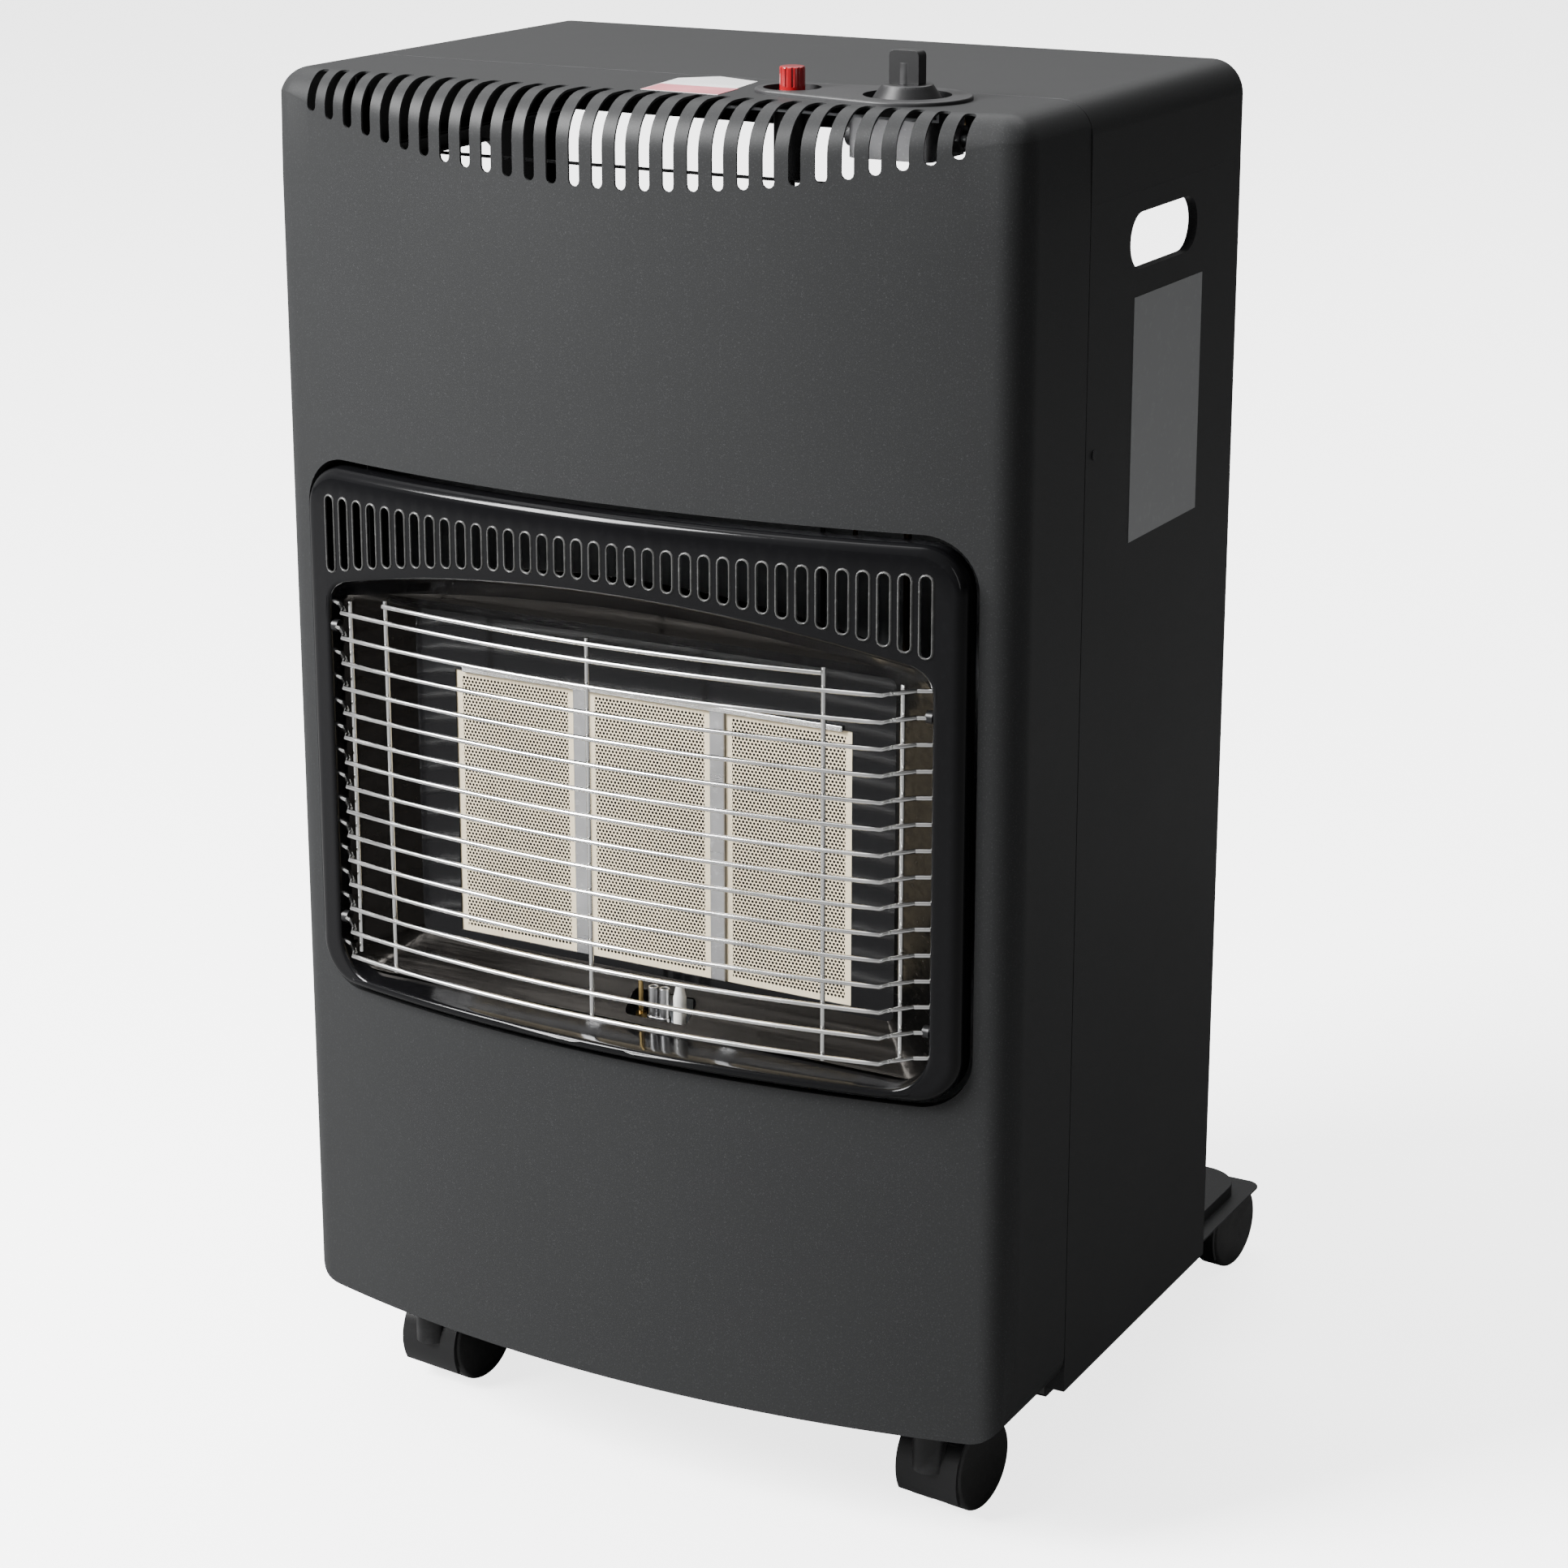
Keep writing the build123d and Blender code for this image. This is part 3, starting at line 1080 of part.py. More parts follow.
outlet_x = KNOB_X + VALVE_W / 2 + VALVE_PORT
gas_pipe = bent_rod(
    (
        (outlet_x, KNOB_Y, valve_mid_z),
        (PIPE_X, KNOB_Y, valve_mid_z),
        (PIPE_X, BURNER_AXIS_Y, MANIFOLD_Z),
        (MANIFOLD_END_X, BURNER_AXIS_Y, MANIFOLD_Z),
    ),
    PIPE_R,
    2 * PIPE_R,
    PIPE_BORE_R,
)
save(gas_pipe, "gas_pipe")

# the pilot's three lines run down between the plenums and the heat shield, then forward between
# the mixing tubes
pilot_line_z = PILOT_BASE_Z - 2 * LEAD_BEND_R - PILOT_PIPE_R
lead_line_z = PILOT_BASE_Z - LEAD_BEND_R - LEAD_R
drop_z = SHIELD_TOP_Z - 4 * LEAD_BEND_R
pilot_lane_y = PLENUM_BACK_Y + 3.5 * PILOT_PIPE_R
spark_lane_y = SHEET - 3 * LEAD_R
right_lane_x = PLAQUE_PITCH / 2
left_lane_x = -MIXER_BELL_R - 3 * LEAD_R
pilot_feed_x = KNOB_X - VALVE_W / 4
pilot_pipe = bent_rod(
    (
        (pilot_feed_x, KNOB_Y, valve_low_z),
        (pilot_feed_x, KNOB_Y, drop_z),
        (pilot_feed_x, pilot_lane_y, drop_z),
        (pilot_feed_x, pilot_lane_y, pilot_line_z),
        (right_lane_x, pilot_lane_y, pilot_line_z),
        (right_lane_x, PILOT_Y, pilot_line_z),
        (pilot_burner_x, PILOT_Y, pilot_line_z),
        (pilot_burner_x, PILOT_Y, PILOT_BASE_Z),
    ),
    PILOT_PIPE_R,
    LEAD_BEND_R,
)
save(pilot_pipe, "pilot_pipe")

ignition_lead = bent_rod(
    (
        (BUTTON_X, BUTTON_Y, bracket_low_z - PIEZO_LENGTH),
        (BUTTON_X, BUTTON_Y, drop_z),
        (BUTTON_X, spark_lane_y, drop_z),
        (BUTTON_X, spark_lane_y, lead_line_z),
        (CERAMIC_X, spark_lane_y, lead_line_z),
        (CERAMIC_X, PILOT_Y, lead_line_z),
        (CERAMIC_X, PILOT_Y, PILOT_BASE_Z),
    ),
    LEAD_R,
    LEAD_BEND_R,
)
save(ignition_lead, "ignition_lead")

magnet_end_x = KNOB_X - VALVE_W / 2 - VALVE_PORT
thermocouple_drop_x = magnet_end_x - 2 * LEAD_BEND_R
thermocouple_z = lead_line_z + 4 * LEAD_BEND_R
thermocouple_lead = bent_rod(
    (
        (magnet_end_x, KNOB_Y, valve_mid_z),
        (thermocouple_drop_x, KNOB_Y, valve_mid_z),
        (thermocouple_drop_x, KNOB_Y, drop_z),
        (thermocouple_drop_x, pilot_lane_y, drop_z),
        (thermocouple_drop_x, pilot_lane_y, thermocouple_z),
        (left_lane_x, pilot_lane_y, thermocouple_z),
        (left_lane_x, pilot_lane_y, lead_line_z),
        (left_lane_x, PILOT_Y, lead_line_z),
        (THERMOCOUPLE_X, PILOT_Y, lead_line_z),
        (THERMOCOUPLE_X, PILOT_Y, PILOT_BASE_Z),
    ),
    LEAD_R,
    LEAD_BEND_R,
)
save(thermocouple_lead, "thermocouple_lead")

# ---- castors ----------------------------------------------------------------------------------
wheel_mid_z = CASTOR_WHEEL_R
hood_in_r = CASTOR_WHEEL_R + HOOD_GAP
hood_out_r = hood_in_r + HOOD_WALL
hood_top_z = CASTOR_SOCKET_LOW_Z - CASTOR_BOSS_GAP
castor_places = {
    "front_left": (-FRONT_CASTOR_X, FRONT_CASTOR_Y),
    "front_right": (FRONT_CASTOR_X, FRONT_CASTOR_Y),
    "rear_left": (-REAR_CASTOR_X, REAR_CASTOR_Y),
    "rear_right": (REAR_CASTOR_X, REAR_CASTOR_Y),
}

with BuildPart() as castor_sockets:
    for socket_y, socket_top_z in (
        (FRONT_CASTOR_Y, PLATFORM_Z - SHEET),
        (REAR_CASTOR_Y, TRAY_Z),
    ):
        with BuildSketch(level(CASTOR_SOCKET_LOW_Z)):
            with Locations(*[place for place in castor_places.values() if place[1] == socket_y]):
                Circle(CASTOR_SOCKET_R)
                Circle(CASTOR_STEM_R + RUNNING_GAP, mode=Mode.SUBTRACT)
        extrude(amount=socket_top_z - CASTOR_SOCKET_LOW_Z)
save(castor_sockets, "castor_sockets")

for label, (stem_x, stem_y) in castor_places.items():
    # the castor's own frame: x along the axle, y the way it trails
    turned = Plane(
        origin=(stem_x, SEAM_Y + stem_y, 0),
        x_dir=(cos(radians(CASTOR_YAW)), sin(radians(CASTOR_YAW)), 0),
        z_dir=(0, 0, 1),
    )
    axle_plane = Plane(
        origin=turned.from_local_coords((0, CASTOR_TRAIL, wheel_mid_z)),
        x_dir=turned.y_dir,
        z_dir=turned.x_dir,
    )
    with BuildPart() as hood:
        # mudguard over both wheels, from low at the front to the top at the back
        with BuildSketch(axle_plane.offset(-CASTOR_HALF_W)) as guard_arc:
            Circle(hood_out_r)
            Circle(hood_in_r, mode=Mode.SUBTRACT)
            with BuildLine():
                Polyline(
                    (0, 0),
                    (-2 * hood_out_r, -1.1 * hood_out_r),
                    (-2 * hood_out_r, 2 * hood_out_r),
                    (hood_out_r * 0.45, 2 * hood_out_r),
                    close=True,
                )
            make_face(mode=Mode.INTERSECT)
        extrude(amount=2 * CASTOR_HALF_W)
        # web between the wheels, with the axle's bore
        with BuildSketch(axle_plane.offset(-CASTOR_WEB_T / 2)):
            Circle(hood_out_r * 0.45)
            with BuildLine():
                Polyline(
                    (0, 0),
                    (-hood_out_r, -0.55 * hood_out_r),
                    (-hood_out_r, 0.9 * hood_out_r),
                    (hood_out_r * 0.45, 1.2 * hood_out_r),
                    close=True,
                )
            make_face()
            Circle(hood_out_r, mode=Mode.INTERSECT)
            Circle(CASTOR_AXLE_R, mode=Mode.SUBTRACT)
        extrude(amount=CASTOR_WEB_T)
        # swivel boss in front of the wheels, and the stem on it
        with BuildSketch(turned.offset(hood_top_z)):
            Circle(CASTOR_SOCKET_R)
        extrude(amount=-CASTOR_BOSS_H)
        for sign in (-1, 1):
            with BuildSketch(axle_plane.offset(sign * CASTOR_WEB_T / 2)):
                Circle(hood_in_r)
            extrude(amount=sign * CASTOR_HALF_W, mode=Mode.SUBTRACT)
        with BuildSketch(turned.offset(hood_top_z)):
            Circle(CASTOR_STEM_R)
        extrude(amount=TRAY_Z - CASTOR_STEM_GAP - hood_top_z)
    save(hood, f"castor_hood_{label}")

    # two wheels that turn by themselves, each with a blind bore for its end of the axle
    for number, sign in ((1, -1), (2, 1)):
        inner_face = axle_plane.offset(sign * (CASTOR_WEB_T / 2 + CASTOR_SIDE_GAP))
        with BuildPart() as wheel:
            with BuildSketch(inner_face):
                Circle(CASTOR_WHEEL_R)
            extrude(amount=sign * CASTOR_WHEEL_T)
            rims = wheel.edges().filter_by(GeomType.CIRCLE)
            fillet(rims, radius=CASTOR_TREAD_R)
            with BuildSketch(inner_face):
                Circle(CASTOR_AXLE_R + RUNNING_GAP)
            extrude(amount=sign * (CASTOR_WHEEL_T - CASTOR_CAP_T), mode=Mode.SUBTRACT)
        save(wheel, f"castor_wheel_{label}_{number}")

    with BuildPart() as axle:
        with BuildSketch(axle_plane.offset(-CASTOR_AXLE_LENGTH / 2)):
            Circle(CASTOR_AXLE_R)
        extrude(amount=CASTOR_AXLE_LENGTH)
    save(axle, f"castor_axle_{label}")

# ---- labels and rivets ------------------------------------------------------------------------
with BuildPart() as rating_label:
    with BuildSketch(side(HALF_W)):
        with Locations(SIDE_LABEL_AT):
            Rectangle(*SIDE_LABEL)
    extrude(amount=LABEL_T)
save(rating_label, "rating_label")

with BuildPart() as top_label:
    with BuildSketch(level(CABINET_TOP_Z)):
        with Locations(TOP_LABEL_AT):
            Rectangle(*TOP_LABEL)
    extrude(amount=LABEL_T)
save(top_label, "top_label")
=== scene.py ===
# %% [markdown]
# # A gas cabinet heater, dressed piece by piece
# The heater is a tall steel cabinet on four castors. Its bowed front cover carries a gloss black surround,
# and in the surround's mouth a burner of three ceramic plaques glows behind a guard of plated wire.
# The measured frame of the heater is loaded first. Every visible piece is then built around it in metres,
# in the frame's own axes, so that nothing has to be fitted by eye.

from contextlib import contextmanager
from math import acos, asin, atan, cos, hypot, pi, radians, sin, sqrt, tan

import bmesh
import bpy
from mathutils import Matrix, Vector


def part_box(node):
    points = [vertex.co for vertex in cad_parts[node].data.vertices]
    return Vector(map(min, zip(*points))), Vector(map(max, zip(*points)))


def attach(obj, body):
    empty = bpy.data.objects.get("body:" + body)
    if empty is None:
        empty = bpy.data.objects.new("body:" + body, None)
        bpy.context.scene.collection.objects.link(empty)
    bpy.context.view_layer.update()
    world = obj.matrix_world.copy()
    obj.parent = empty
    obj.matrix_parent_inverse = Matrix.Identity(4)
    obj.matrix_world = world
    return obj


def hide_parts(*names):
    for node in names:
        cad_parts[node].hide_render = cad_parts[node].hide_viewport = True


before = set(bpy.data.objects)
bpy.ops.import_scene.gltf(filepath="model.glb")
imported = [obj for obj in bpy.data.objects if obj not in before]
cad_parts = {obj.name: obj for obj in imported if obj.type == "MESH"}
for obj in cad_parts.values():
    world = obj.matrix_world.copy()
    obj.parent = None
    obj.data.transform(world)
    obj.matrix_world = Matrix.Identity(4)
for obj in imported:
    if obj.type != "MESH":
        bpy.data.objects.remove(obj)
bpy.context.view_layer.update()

# %% [markdown]
# ## Where things are
# Sheet metal is drawn in millimetres and counted from the seam between the front cover and the side
# panels, so two lines turn such a place into metres. The seam itself is read from the frame, because
# the cover's rear edge lies on it.

# %% Millimetres and the seam
MM = 0.001
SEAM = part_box("front_cover")[1][1]
HALF_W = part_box("left_side_panel")[0][0] / -MM
TOP_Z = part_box("top_cover")[1][2] / MM


def at(x, y, z):
    """A place in metres from millimetres: x to the right, y back from the seam, z above the floor."""
    return Vector((x * MM, y * MM + SEAM, z * MM))


print("seam", round(SEAM, 5), "half width", round(HALF_W, 2), "top", round(TOP_Z, 2))

# %% [markdown]
# ## Helpers for objects and nodes
# Nearly every step makes objects and nodes. One helper puts new data into the scene. Another makes a
# node, sets its inputs to plain values, and links an input wherever it is given another node's output.


# %% Two helpers
def new_object(name, data):
    """An object for a mesh, light or camera, linked into the scene."""
    piece = bpy.data.objects.new(name, data)
    bpy.context.scene.collection.objects.link(piece)
    return piece


def add_node(tree, kind, inputs, **settings):
    """A node with its settings, and with each input set to a value or linked to an output."""
    node = tree.nodes.new(kind)
    for name, value in settings.items():
        setattr(node, name, value)
    for key, value in inputs.items():
        if isinstance(value, bpy.types.NodeSocket):
            tree.links.new(value, node.inputs[key])
        else:
            node.inputs[key].default_value = value
    return node


# %% [markdown]
# ## Camera
# The heater is seen from its right front corner and from a little above its top. A long lens keeps the
# upright edges nearly parallel. The sideways angle and the height are turned into a view direction, and
# Blender's track quaternion aims the camera along it.

# %% Camera
AROUND, ABOVE = radians(28.65), radians(15.91)
IMAGE_PIXELS, FOCAL_PIXELS = 1932.0, 4465.0
CAMERA_AT, CAMERA_SHIFT = (896.0, -1557.0, 943.0), -0.08
camera_data = bpy.data.cameras.new("camera")
camera = new_object("camera", camera_data)
camera.location = at(*CAMERA_AT)
looking = Vector((-sin(AROUND) * cos(ABOVE), cos(AROUND) * cos(ABOVE), -sin(ABOVE)))
camera.rotation_mode = "QUATERNION"
camera.rotation_quaternion = looking.to_track_quat("-Z", "Y")
camera_data.sensor_width = 36.0
camera_data.lens = FOCAL_PIXELS / IMAGE_PIXELS * camera_data.sensor_width
camera_data.shift_y = CAMERA_SHIFT
camera_data.clip_start, camera_data.clip_end = 0.05, 50.0
bpy.context.scene.camera = camera
print("camera", [round(v, 3) for v in camera.location], "lens", round(camera_data.lens, 1))

# %% [markdown]
# ## Floor and studio light
# Satin black shows its shape only through what it reflects, so large soft lights matter more than
# bright ones. The largest panel hangs behind the heater and lights the floor, a smaller one lights the
# top, and a third stands at the left front and gives the bowed front its slow fall from light to dark.
# A narrow one at the right draws a soft line down the rounded corner.
# The sky is dim, because a pale sky would lie as a grey veil on all black parts. It is brightest on the
# left and falls off to the right, which keeps the side panel darker than the front. For the same reason
# the floor is pale only to the camera. To every other ray it is dark, as if black cards lay round the
# heater, so that it doesn't light the side panel from below.


# %% Floor
FLOOR_BOUNCE, FLOOR_WHITE, FLOOR_LIFT = 0.16, 0.93, 3.0
floor_mesh = bpy.data.meshes.new("studio_floor")
floor_mesh.from_pydata([(-9, -9, 0), (9, -9, 0), (9, 9, 0), (-9, 9, 0)], [], [(0, 1, 2, 3)])
studio_floor = new_object("studio_floor", floor_mesh)
floor_paint = bpy.data.materials.new("studio_floor_paint")
floor_paint.use_nodes = True
floor_tree = floor_paint.node_tree
floor_shader = floor_tree.nodes["Principled BSDF"]
seen = add_node(floor_tree, "ShaderNodeLightPath", {}).outputs["Is Camera Ray"]
for socket, hidden, shown in (("Base Color", FLOOR_BOUNCE, FLOOR_WHITE), ("Emission Strength", 0.0, FLOOR_LIFT)):
    choose = add_node(floor_tree, "ShaderNodeMapRange", {"Value": seen, "To Min": hidden, "To Max": shown})
    floor_tree.links.new(choose.outputs["Result"], floor_shader.inputs[socket])
floor_shader.inputs["Emission Color"].default_value = (1, 1, 1, 1)
floor_shader.inputs["Roughness"].default_value = 0.9
floor_mesh.materials.append(floor_paint)


# %% Lights
def soft_panel(name, place, target, width, height, watts):
    """A rectangular soft light at `place`, turned to `target`."""
    data = bpy.data.lights.new(name, "AREA")
    data.shape = "RECTANGLE"
    data.size, data.size_y, data.energy = width, height, watts
    panel = new_object(name, data)
    panel.location = place
    panel.rotation_mode = "QUATERNION"
    panel.rotation_quaternion = (Vector(target) - Vector(place)).to_track_quat("-Z", "Y")


BRIGHT_SIDE = (-0.62, -0.42, 0.66)
SKY_FALL = {"From Min": -0.7, "From Max": 0.9, "To Min": 0.04, "To Max": 0.55}
sky = bpy.data.worlds.new("studio_sky")
sky.use_nodes = True
air = sky.node_tree
direction = add_node(air, "ShaderNodeTexCoord", {}).outputs["Generated"]
facing = add_node(air, "ShaderNodeVectorMath", {0: direction, 1: BRIGHT_SIDE}, operation="DOT_PRODUCT")
fall = add_node(air, "ShaderNodeMapRange", {"Value": facing.outputs["Value"], **SKY_FALL})
air.links.new(fall.outputs["Result"], air.nodes["Background"].inputs["Strength"])
air.nodes["Background"].inputs["Color"].default_value = (1.0, 1.0, 1.0, 1)
bpy.context.scene.world = sky
soft_panel("over_light", (-0.8, 1.8, 4.2), (-0.2, 1.2, 0.0), 5.0, 4.5, 210)
soft_panel("top_light", (-0.4, -0.6, 2.3), (0, 0, 0.6), 1.2, 1.2, 4)
soft_panel("left_light", (-1.8, -2.1, 2.4), (-0.05, 0, 0.7), 1.2, 1.6, 480)
soft_panel("edge_light", (2.5, -1.4, 1.1), (0.2, -0.1, 0.45), 0.25, 1.6, 4)

# %% [markdown]
# ## Shared surface effects
# Most finishes here share three effects: a fine grain, a slow cloudiness from handling and uneven
# spraying, and bright wear on sharp edges. Each is a shader node group, built once. A group puts out
# only masks and heights, so every material can use it with its own sizes, and constants such as the
# base roughness stay on the material's own shader. The wear mask starts from a face attribute that the
# mesh helpers below write on every rounded edge.


# %% Node helpers
def link(tree, start, end):
    tree.links.new(start, end)


def effect_group(name, inputs, outputs):
    """A shader group with named number inputs and outputs; also returns these and a place on the object."""
    group = bpy.data.node_groups.new(name, "ShaderNodeTree")
    for label, value in inputs:
        socket = group.interface.new_socket(label, in_out="INPUT", socket_type="NodeSocketFloat")
        socket.default_value = value
    for label in outputs:
        group.interface.new_socket(label, in_out="OUTPUT", socket_type="NodeSocketFloat")
    place = group.nodes.new("ShaderNodeTexCoord").outputs["Object"]
    return group, group.nodes.new("NodeGroupInput").outputs, group.nodes.new("NodeGroupOutput").inputs, place


def noise(tree, place, scale, detail, roughness=0.5):
    inputs = {"Vector": place, "Scale": scale, "Detail": detail, "Roughness": roughness}
    return add_node(tree, "ShaderNodeTexNoise", inputs).outputs["Fac"]


def ranged(tree, value, low, high, to_low=0.0, to_high=1.0):
    limits = {"Value": value, "From Min": low, "From Max": high, "To Min": to_low, "To Max": to_high}
    return add_node(tree, "ShaderNodeMapRange", limits).outputs["Result"]


def calc(tree, operation, a, b):
    return add_node(tree, "ShaderNodeMath", {0: a, 1: b}, operation=operation).outputs[0]


# %% Grain, cloudiness and edge wear
grain_group, given, put, place = effect_group("fine_grain", [("Scale", 900.0)], ["Speckle", "Height"])
grain = noise(grain_group, place, given["Scale"], 3.0, 0.6)
link(grain_group, ranged(grain_group, grain, 0.56, 0.74), put["Speckle"])
link(grain_group, grain, put["Height"])

cloud_group, given, put, place = effect_group("slow_cloud", [("Scale", 9.0)], ["Cloud"])
cloud = noise(cloud_group, place, given["Scale"], 4.0, 0.55)
link(cloud_group, ranged(cloud_group, cloud, 0.3, 0.7), put["Cloud"])

wear_group, given, put, place = effect_group("edge_wear", [("Patch Scale", 60.0)], ["Wear"])
edge = add_node(wear_group, "ShaderNodeAttribute", {}, attribute_name="rounded_edge").outputs["Fac"]
patches = ranged(wear_group, noise(wear_group, place, given["Patch Scale"], 4.0), 0.45, 0.65)
link(wear_group, calc(wear_group, "MULTIPLY", edge, patches), put["Wear"])

brush_group, given, put, place = effect_group("brushed_lines", [("Across", 900.0), ("Along", 12.0)], ["Line"])
across = given["Across"]
weights = add_node(brush_group, "ShaderNodeCombineXYZ", {"X": given["Along"], "Y": across, "Z": across})
stretched = add_node(brush_group, "ShaderNodeVectorMath", {0: place, 1: weights.outputs[0]}, operation="MULTIPLY")
link(brush_group, noise(brush_group, stretched.outputs[0], 1.0, 3.0, 0.6), put["Line"])
print("effect groups", [g.name for g in bpy.data.node_groups])

# %% [markdown]
# ## Finishes
# A finish is one Principled shader whose colour, roughness and normal are varied by the shared effects.
# The same function mixes every one of them: a base colour and a second colour in the speckle, a colour
# on worn edges, a roughness that drifts with the cloud, and a bump from the grain. What is constant,
# such as metalness or coat, is set on the shader itself.


# %% The finish maker
def use_group(tree, group, **values):
    inputs = {label.replace("_", " "): value for label, value in values.items()}
    return add_node(tree, "ShaderNodeGroup", inputs, node_tree=group).outputs


def mix_colour(tree, mask, first, second):
    """The first colour where the mask is 0, and the second where it is 1."""
    first, second = [(*c, 1.0) if isinstance(c, tuple) else c for c in (first, second)]
    return add_node(tree, "ShaderNodeMix", {0: mask, 6: first, 7: second}, data_type="RGBA").outputs[2]


def finish_of(name, colour, speckle_colour, roughness, *, grain_scale, metallic=0.0, grain_depth=0.05,
              speckle=1.0, cloud_scale=9.0, cloud_tone=0.12, rough_drift=0.08, wear_colour=None,
              brushed=None, **constants):
    """A Principled finish with grain, cloudiness and edge wear."""
    material = bpy.data.materials.new(name)
    material.use_nodes = True
    tree = material.node_tree
    shader = tree.nodes["Principled BSDF"].inputs
    grain = use_group(tree, grain_group, Scale=grain_scale)
    cloud = use_group(tree, cloud_group, Scale=cloud_scale)["Cloud"]
    shade = tuple(c * (1.0 - cloud_tone) for c in colour)
    tone = mix_colour(tree, cloud, shade, colour)
    tone = mix_colour(tree, calc(tree, "MULTIPLY", grain["Speckle"], speckle), tone, speckle_colour)
    if wear_colour is not None:
        tone = mix_colour(tree, use_group(tree, wear_group)["Wear"], tone, wear_colour)
    link(tree, tone, shader["Base Color"])
    rough = ranged(tree, cloud, 0.0, 1.0, roughness - rough_drift, roughness + rough_drift)
    height = grain["Height"]
    if brushed is not None:
        height = use_group(tree, brush_group, Across=brushed[0], Along=brushed[1])["Line"]
        rough = calc(tree, "ADD", rough, ranged(tree, height, 0.3, 0.7, -0.1, 0.1))
    link(tree, rough, shader["Roughness"])
    relief = {"Strength": 0.5, "Distance": grain_depth * MM, "Height": height}
    link(tree, add_node(tree, "ShaderNodeBump", relief).outputs["Normal"], shader["Normal"])
    shader["Metallic"].default_value = metallic
    for label, value in constants.items():
        shader[label.replace("_", " ")].default_value = value
    return material


# %% [markdown]
# The casing is powder coated: a satin charcoal with a very fine speckle. The surround is stove enamel,
# smooth, deep black and glossy. The tray, brackets and shield behind them are plain zinc-grey or dark
# sheet. The guard is bright plated wire.

# %% Finishes of the cabinet and the guard
powder_coat = finish_of(
    "charcoal_powder_coat", (0.0200, 0.0205, 0.0210), (0.060, 0.061, 0.063), 0.46,
    grain_scale=1500.0, grain_depth=0.06, speckle=0.5, cloud_tone=0.04, rough_drift=0.015,
    wear_colour=(0.04, 0.041, 0.043), Specular_IOR_Level=0.16,
)
gloss_enamel = finish_of(
    "black_stove_enamel", (0.004, 0.004, 0.0045), (0.008, 0.008, 0.009), 0.13,
    grain_scale=300.0, grain_depth=0.015, speckle=0.3, rough_drift=0.03,
    wear_colour=(0.012, 0.012, 0.013), Specular_IOR_Level=0.2,
)
# A mid grey for the lips round the grille slots, far lighter than the black enamel: a painted highlight for the
# glint along the row.
lip_painted_highlight = finish_of(
    "lip_enamel_painted_highlight", (0.085, 0.085, 0.083), (0.13, 0.13, 0.127), 0.24,
    grain_scale=400.0, grain_depth=0.015, cloud_scale=70.0, cloud_tone=0.5,
)
plated_wire = finish_of(
    "bright_plated_wire", (0.80, 0.80, 0.79), (0.62, 0.62, 0.61), 0.16, metallic=1.0,
    grain_scale=500.0, grain_depth=0.02, speckle=0.4, cloud_scale=30.0,
)
zinc_sheet = finish_of(
    "zinc_sheet", (0.30, 0.31, 0.32), (0.36, 0.37, 0.38), 0.5, metallic=1.0,
    grain_scale=140.0, grain_depth=0.02, speckle=0.6, cloud_scale=12.0, cloud_tone=0.08, rough_drift=0.012,
)
dark_sheet = finish_of(
    "heat_darkened_sheet", (0.022, 0.0205, 0.019), (0.030, 0.028, 0.026), 0.19, metallic=1.0,
    grain_scale=200.0, grain_depth=0.012, speckle=0.2, cloud_scale=8.0, cloud_tone=0.2, rough_drift=0.03,
    brushed=(300.0, 5.0),
)
bright_sheet = finish_of(
    "bright_rolled_sheet", (0.56, 0.56, 0.57), (0.64, 0.64, 0.65), 0.38, metallic=1.0,
    grain_scale=300.0, grain_depth=0.02, cloud_scale=30.0, cloud_tone=0.2, brushed=(900.0, 14.0),
)

# %% Finishes of the small parts
burner_ceramic = finish_of(
    "burner_ceramic", (0.84, 0.72, 0.51), (0.74, 0.60, 0.40), 0.85,
    grain_scale=420.0, grain_depth=0.08, cloud_scale=14.0, cloud_tone=0.12, rough_drift=0.05,
)
# The pits are shallow cups with a floor, so their near-black finish is painted shade for the depth of the real
# holes.
pit_painted_shade = finish_of(
    "perforation_shadow", (0.028, 0.021, 0.013), (0.016, 0.012, 0.008), 0.9, grain_scale=600.0,
)
white_ceramic = finish_of(
    "glazed_white_ceramic", (0.83, 0.83, 0.80), (0.74, 0.73, 0.69), 0.22,
    grain_scale=400.0, grain_depth=0.02, speckle=0.5, Coat_Weight=0.5,
)
yellow_brass = finish_of(
    "turned_brass", (0.62, 0.44, 0.18), (0.50, 0.34, 0.13), 0.28, metallic=1.0,
    grain_scale=400.0, grain_depth=0.02, cloud_scale=60.0, cloud_tone=0.3,
)
cast_alloy = finish_of(
    "die_cast_alloy", (0.42, 0.42, 0.43), (0.52, 0.52, 0.53), 0.5, metallic=1.0,
    grain_scale=500.0, grain_depth=0.06, cloud_scale=40.0,
)
black_plastic = finish_of(
    "moulded_black_plastic", (0.008, 0.008, 0.0085), (0.016, 0.016, 0.017), 0.36,
    grain_scale=900.0, grain_depth=0.04, speckle=0.5, wear_colour=(0.03, 0.03, 0.031), Specular_IOR_Level=0.4,
)
plate_plastic = finish_of(
    "grained_grey_plastic", (0.018, 0.018, 0.019), (0.030, 0.030, 0.031), 0.42,
    grain_scale=1100.0, grain_depth=0.05, speckle=0.5, wear_colour=(0.03, 0.03, 0.031), Specular_IOR_Level=0.4,
)
tyre_plastic = finish_of(
    "castor_tread_plastic", (0.014, 0.014, 0.014), (0.03, 0.029, 0.028), 0.46,
    grain_scale=700.0, grain_depth=0.06, cloud_scale=60.0, cloud_tone=0.25, wear_colour=(0.05, 0.048, 0.046),
)
red_plastic = finish_of(
    "glossy_red_plastic", (0.27, 0.006, 0.010), (0.34, 0.012, 0.015), 0.16,
    grain_scale=600.0, grain_depth=0.015, speckle=0.4, Coat_Weight=0.4,
)
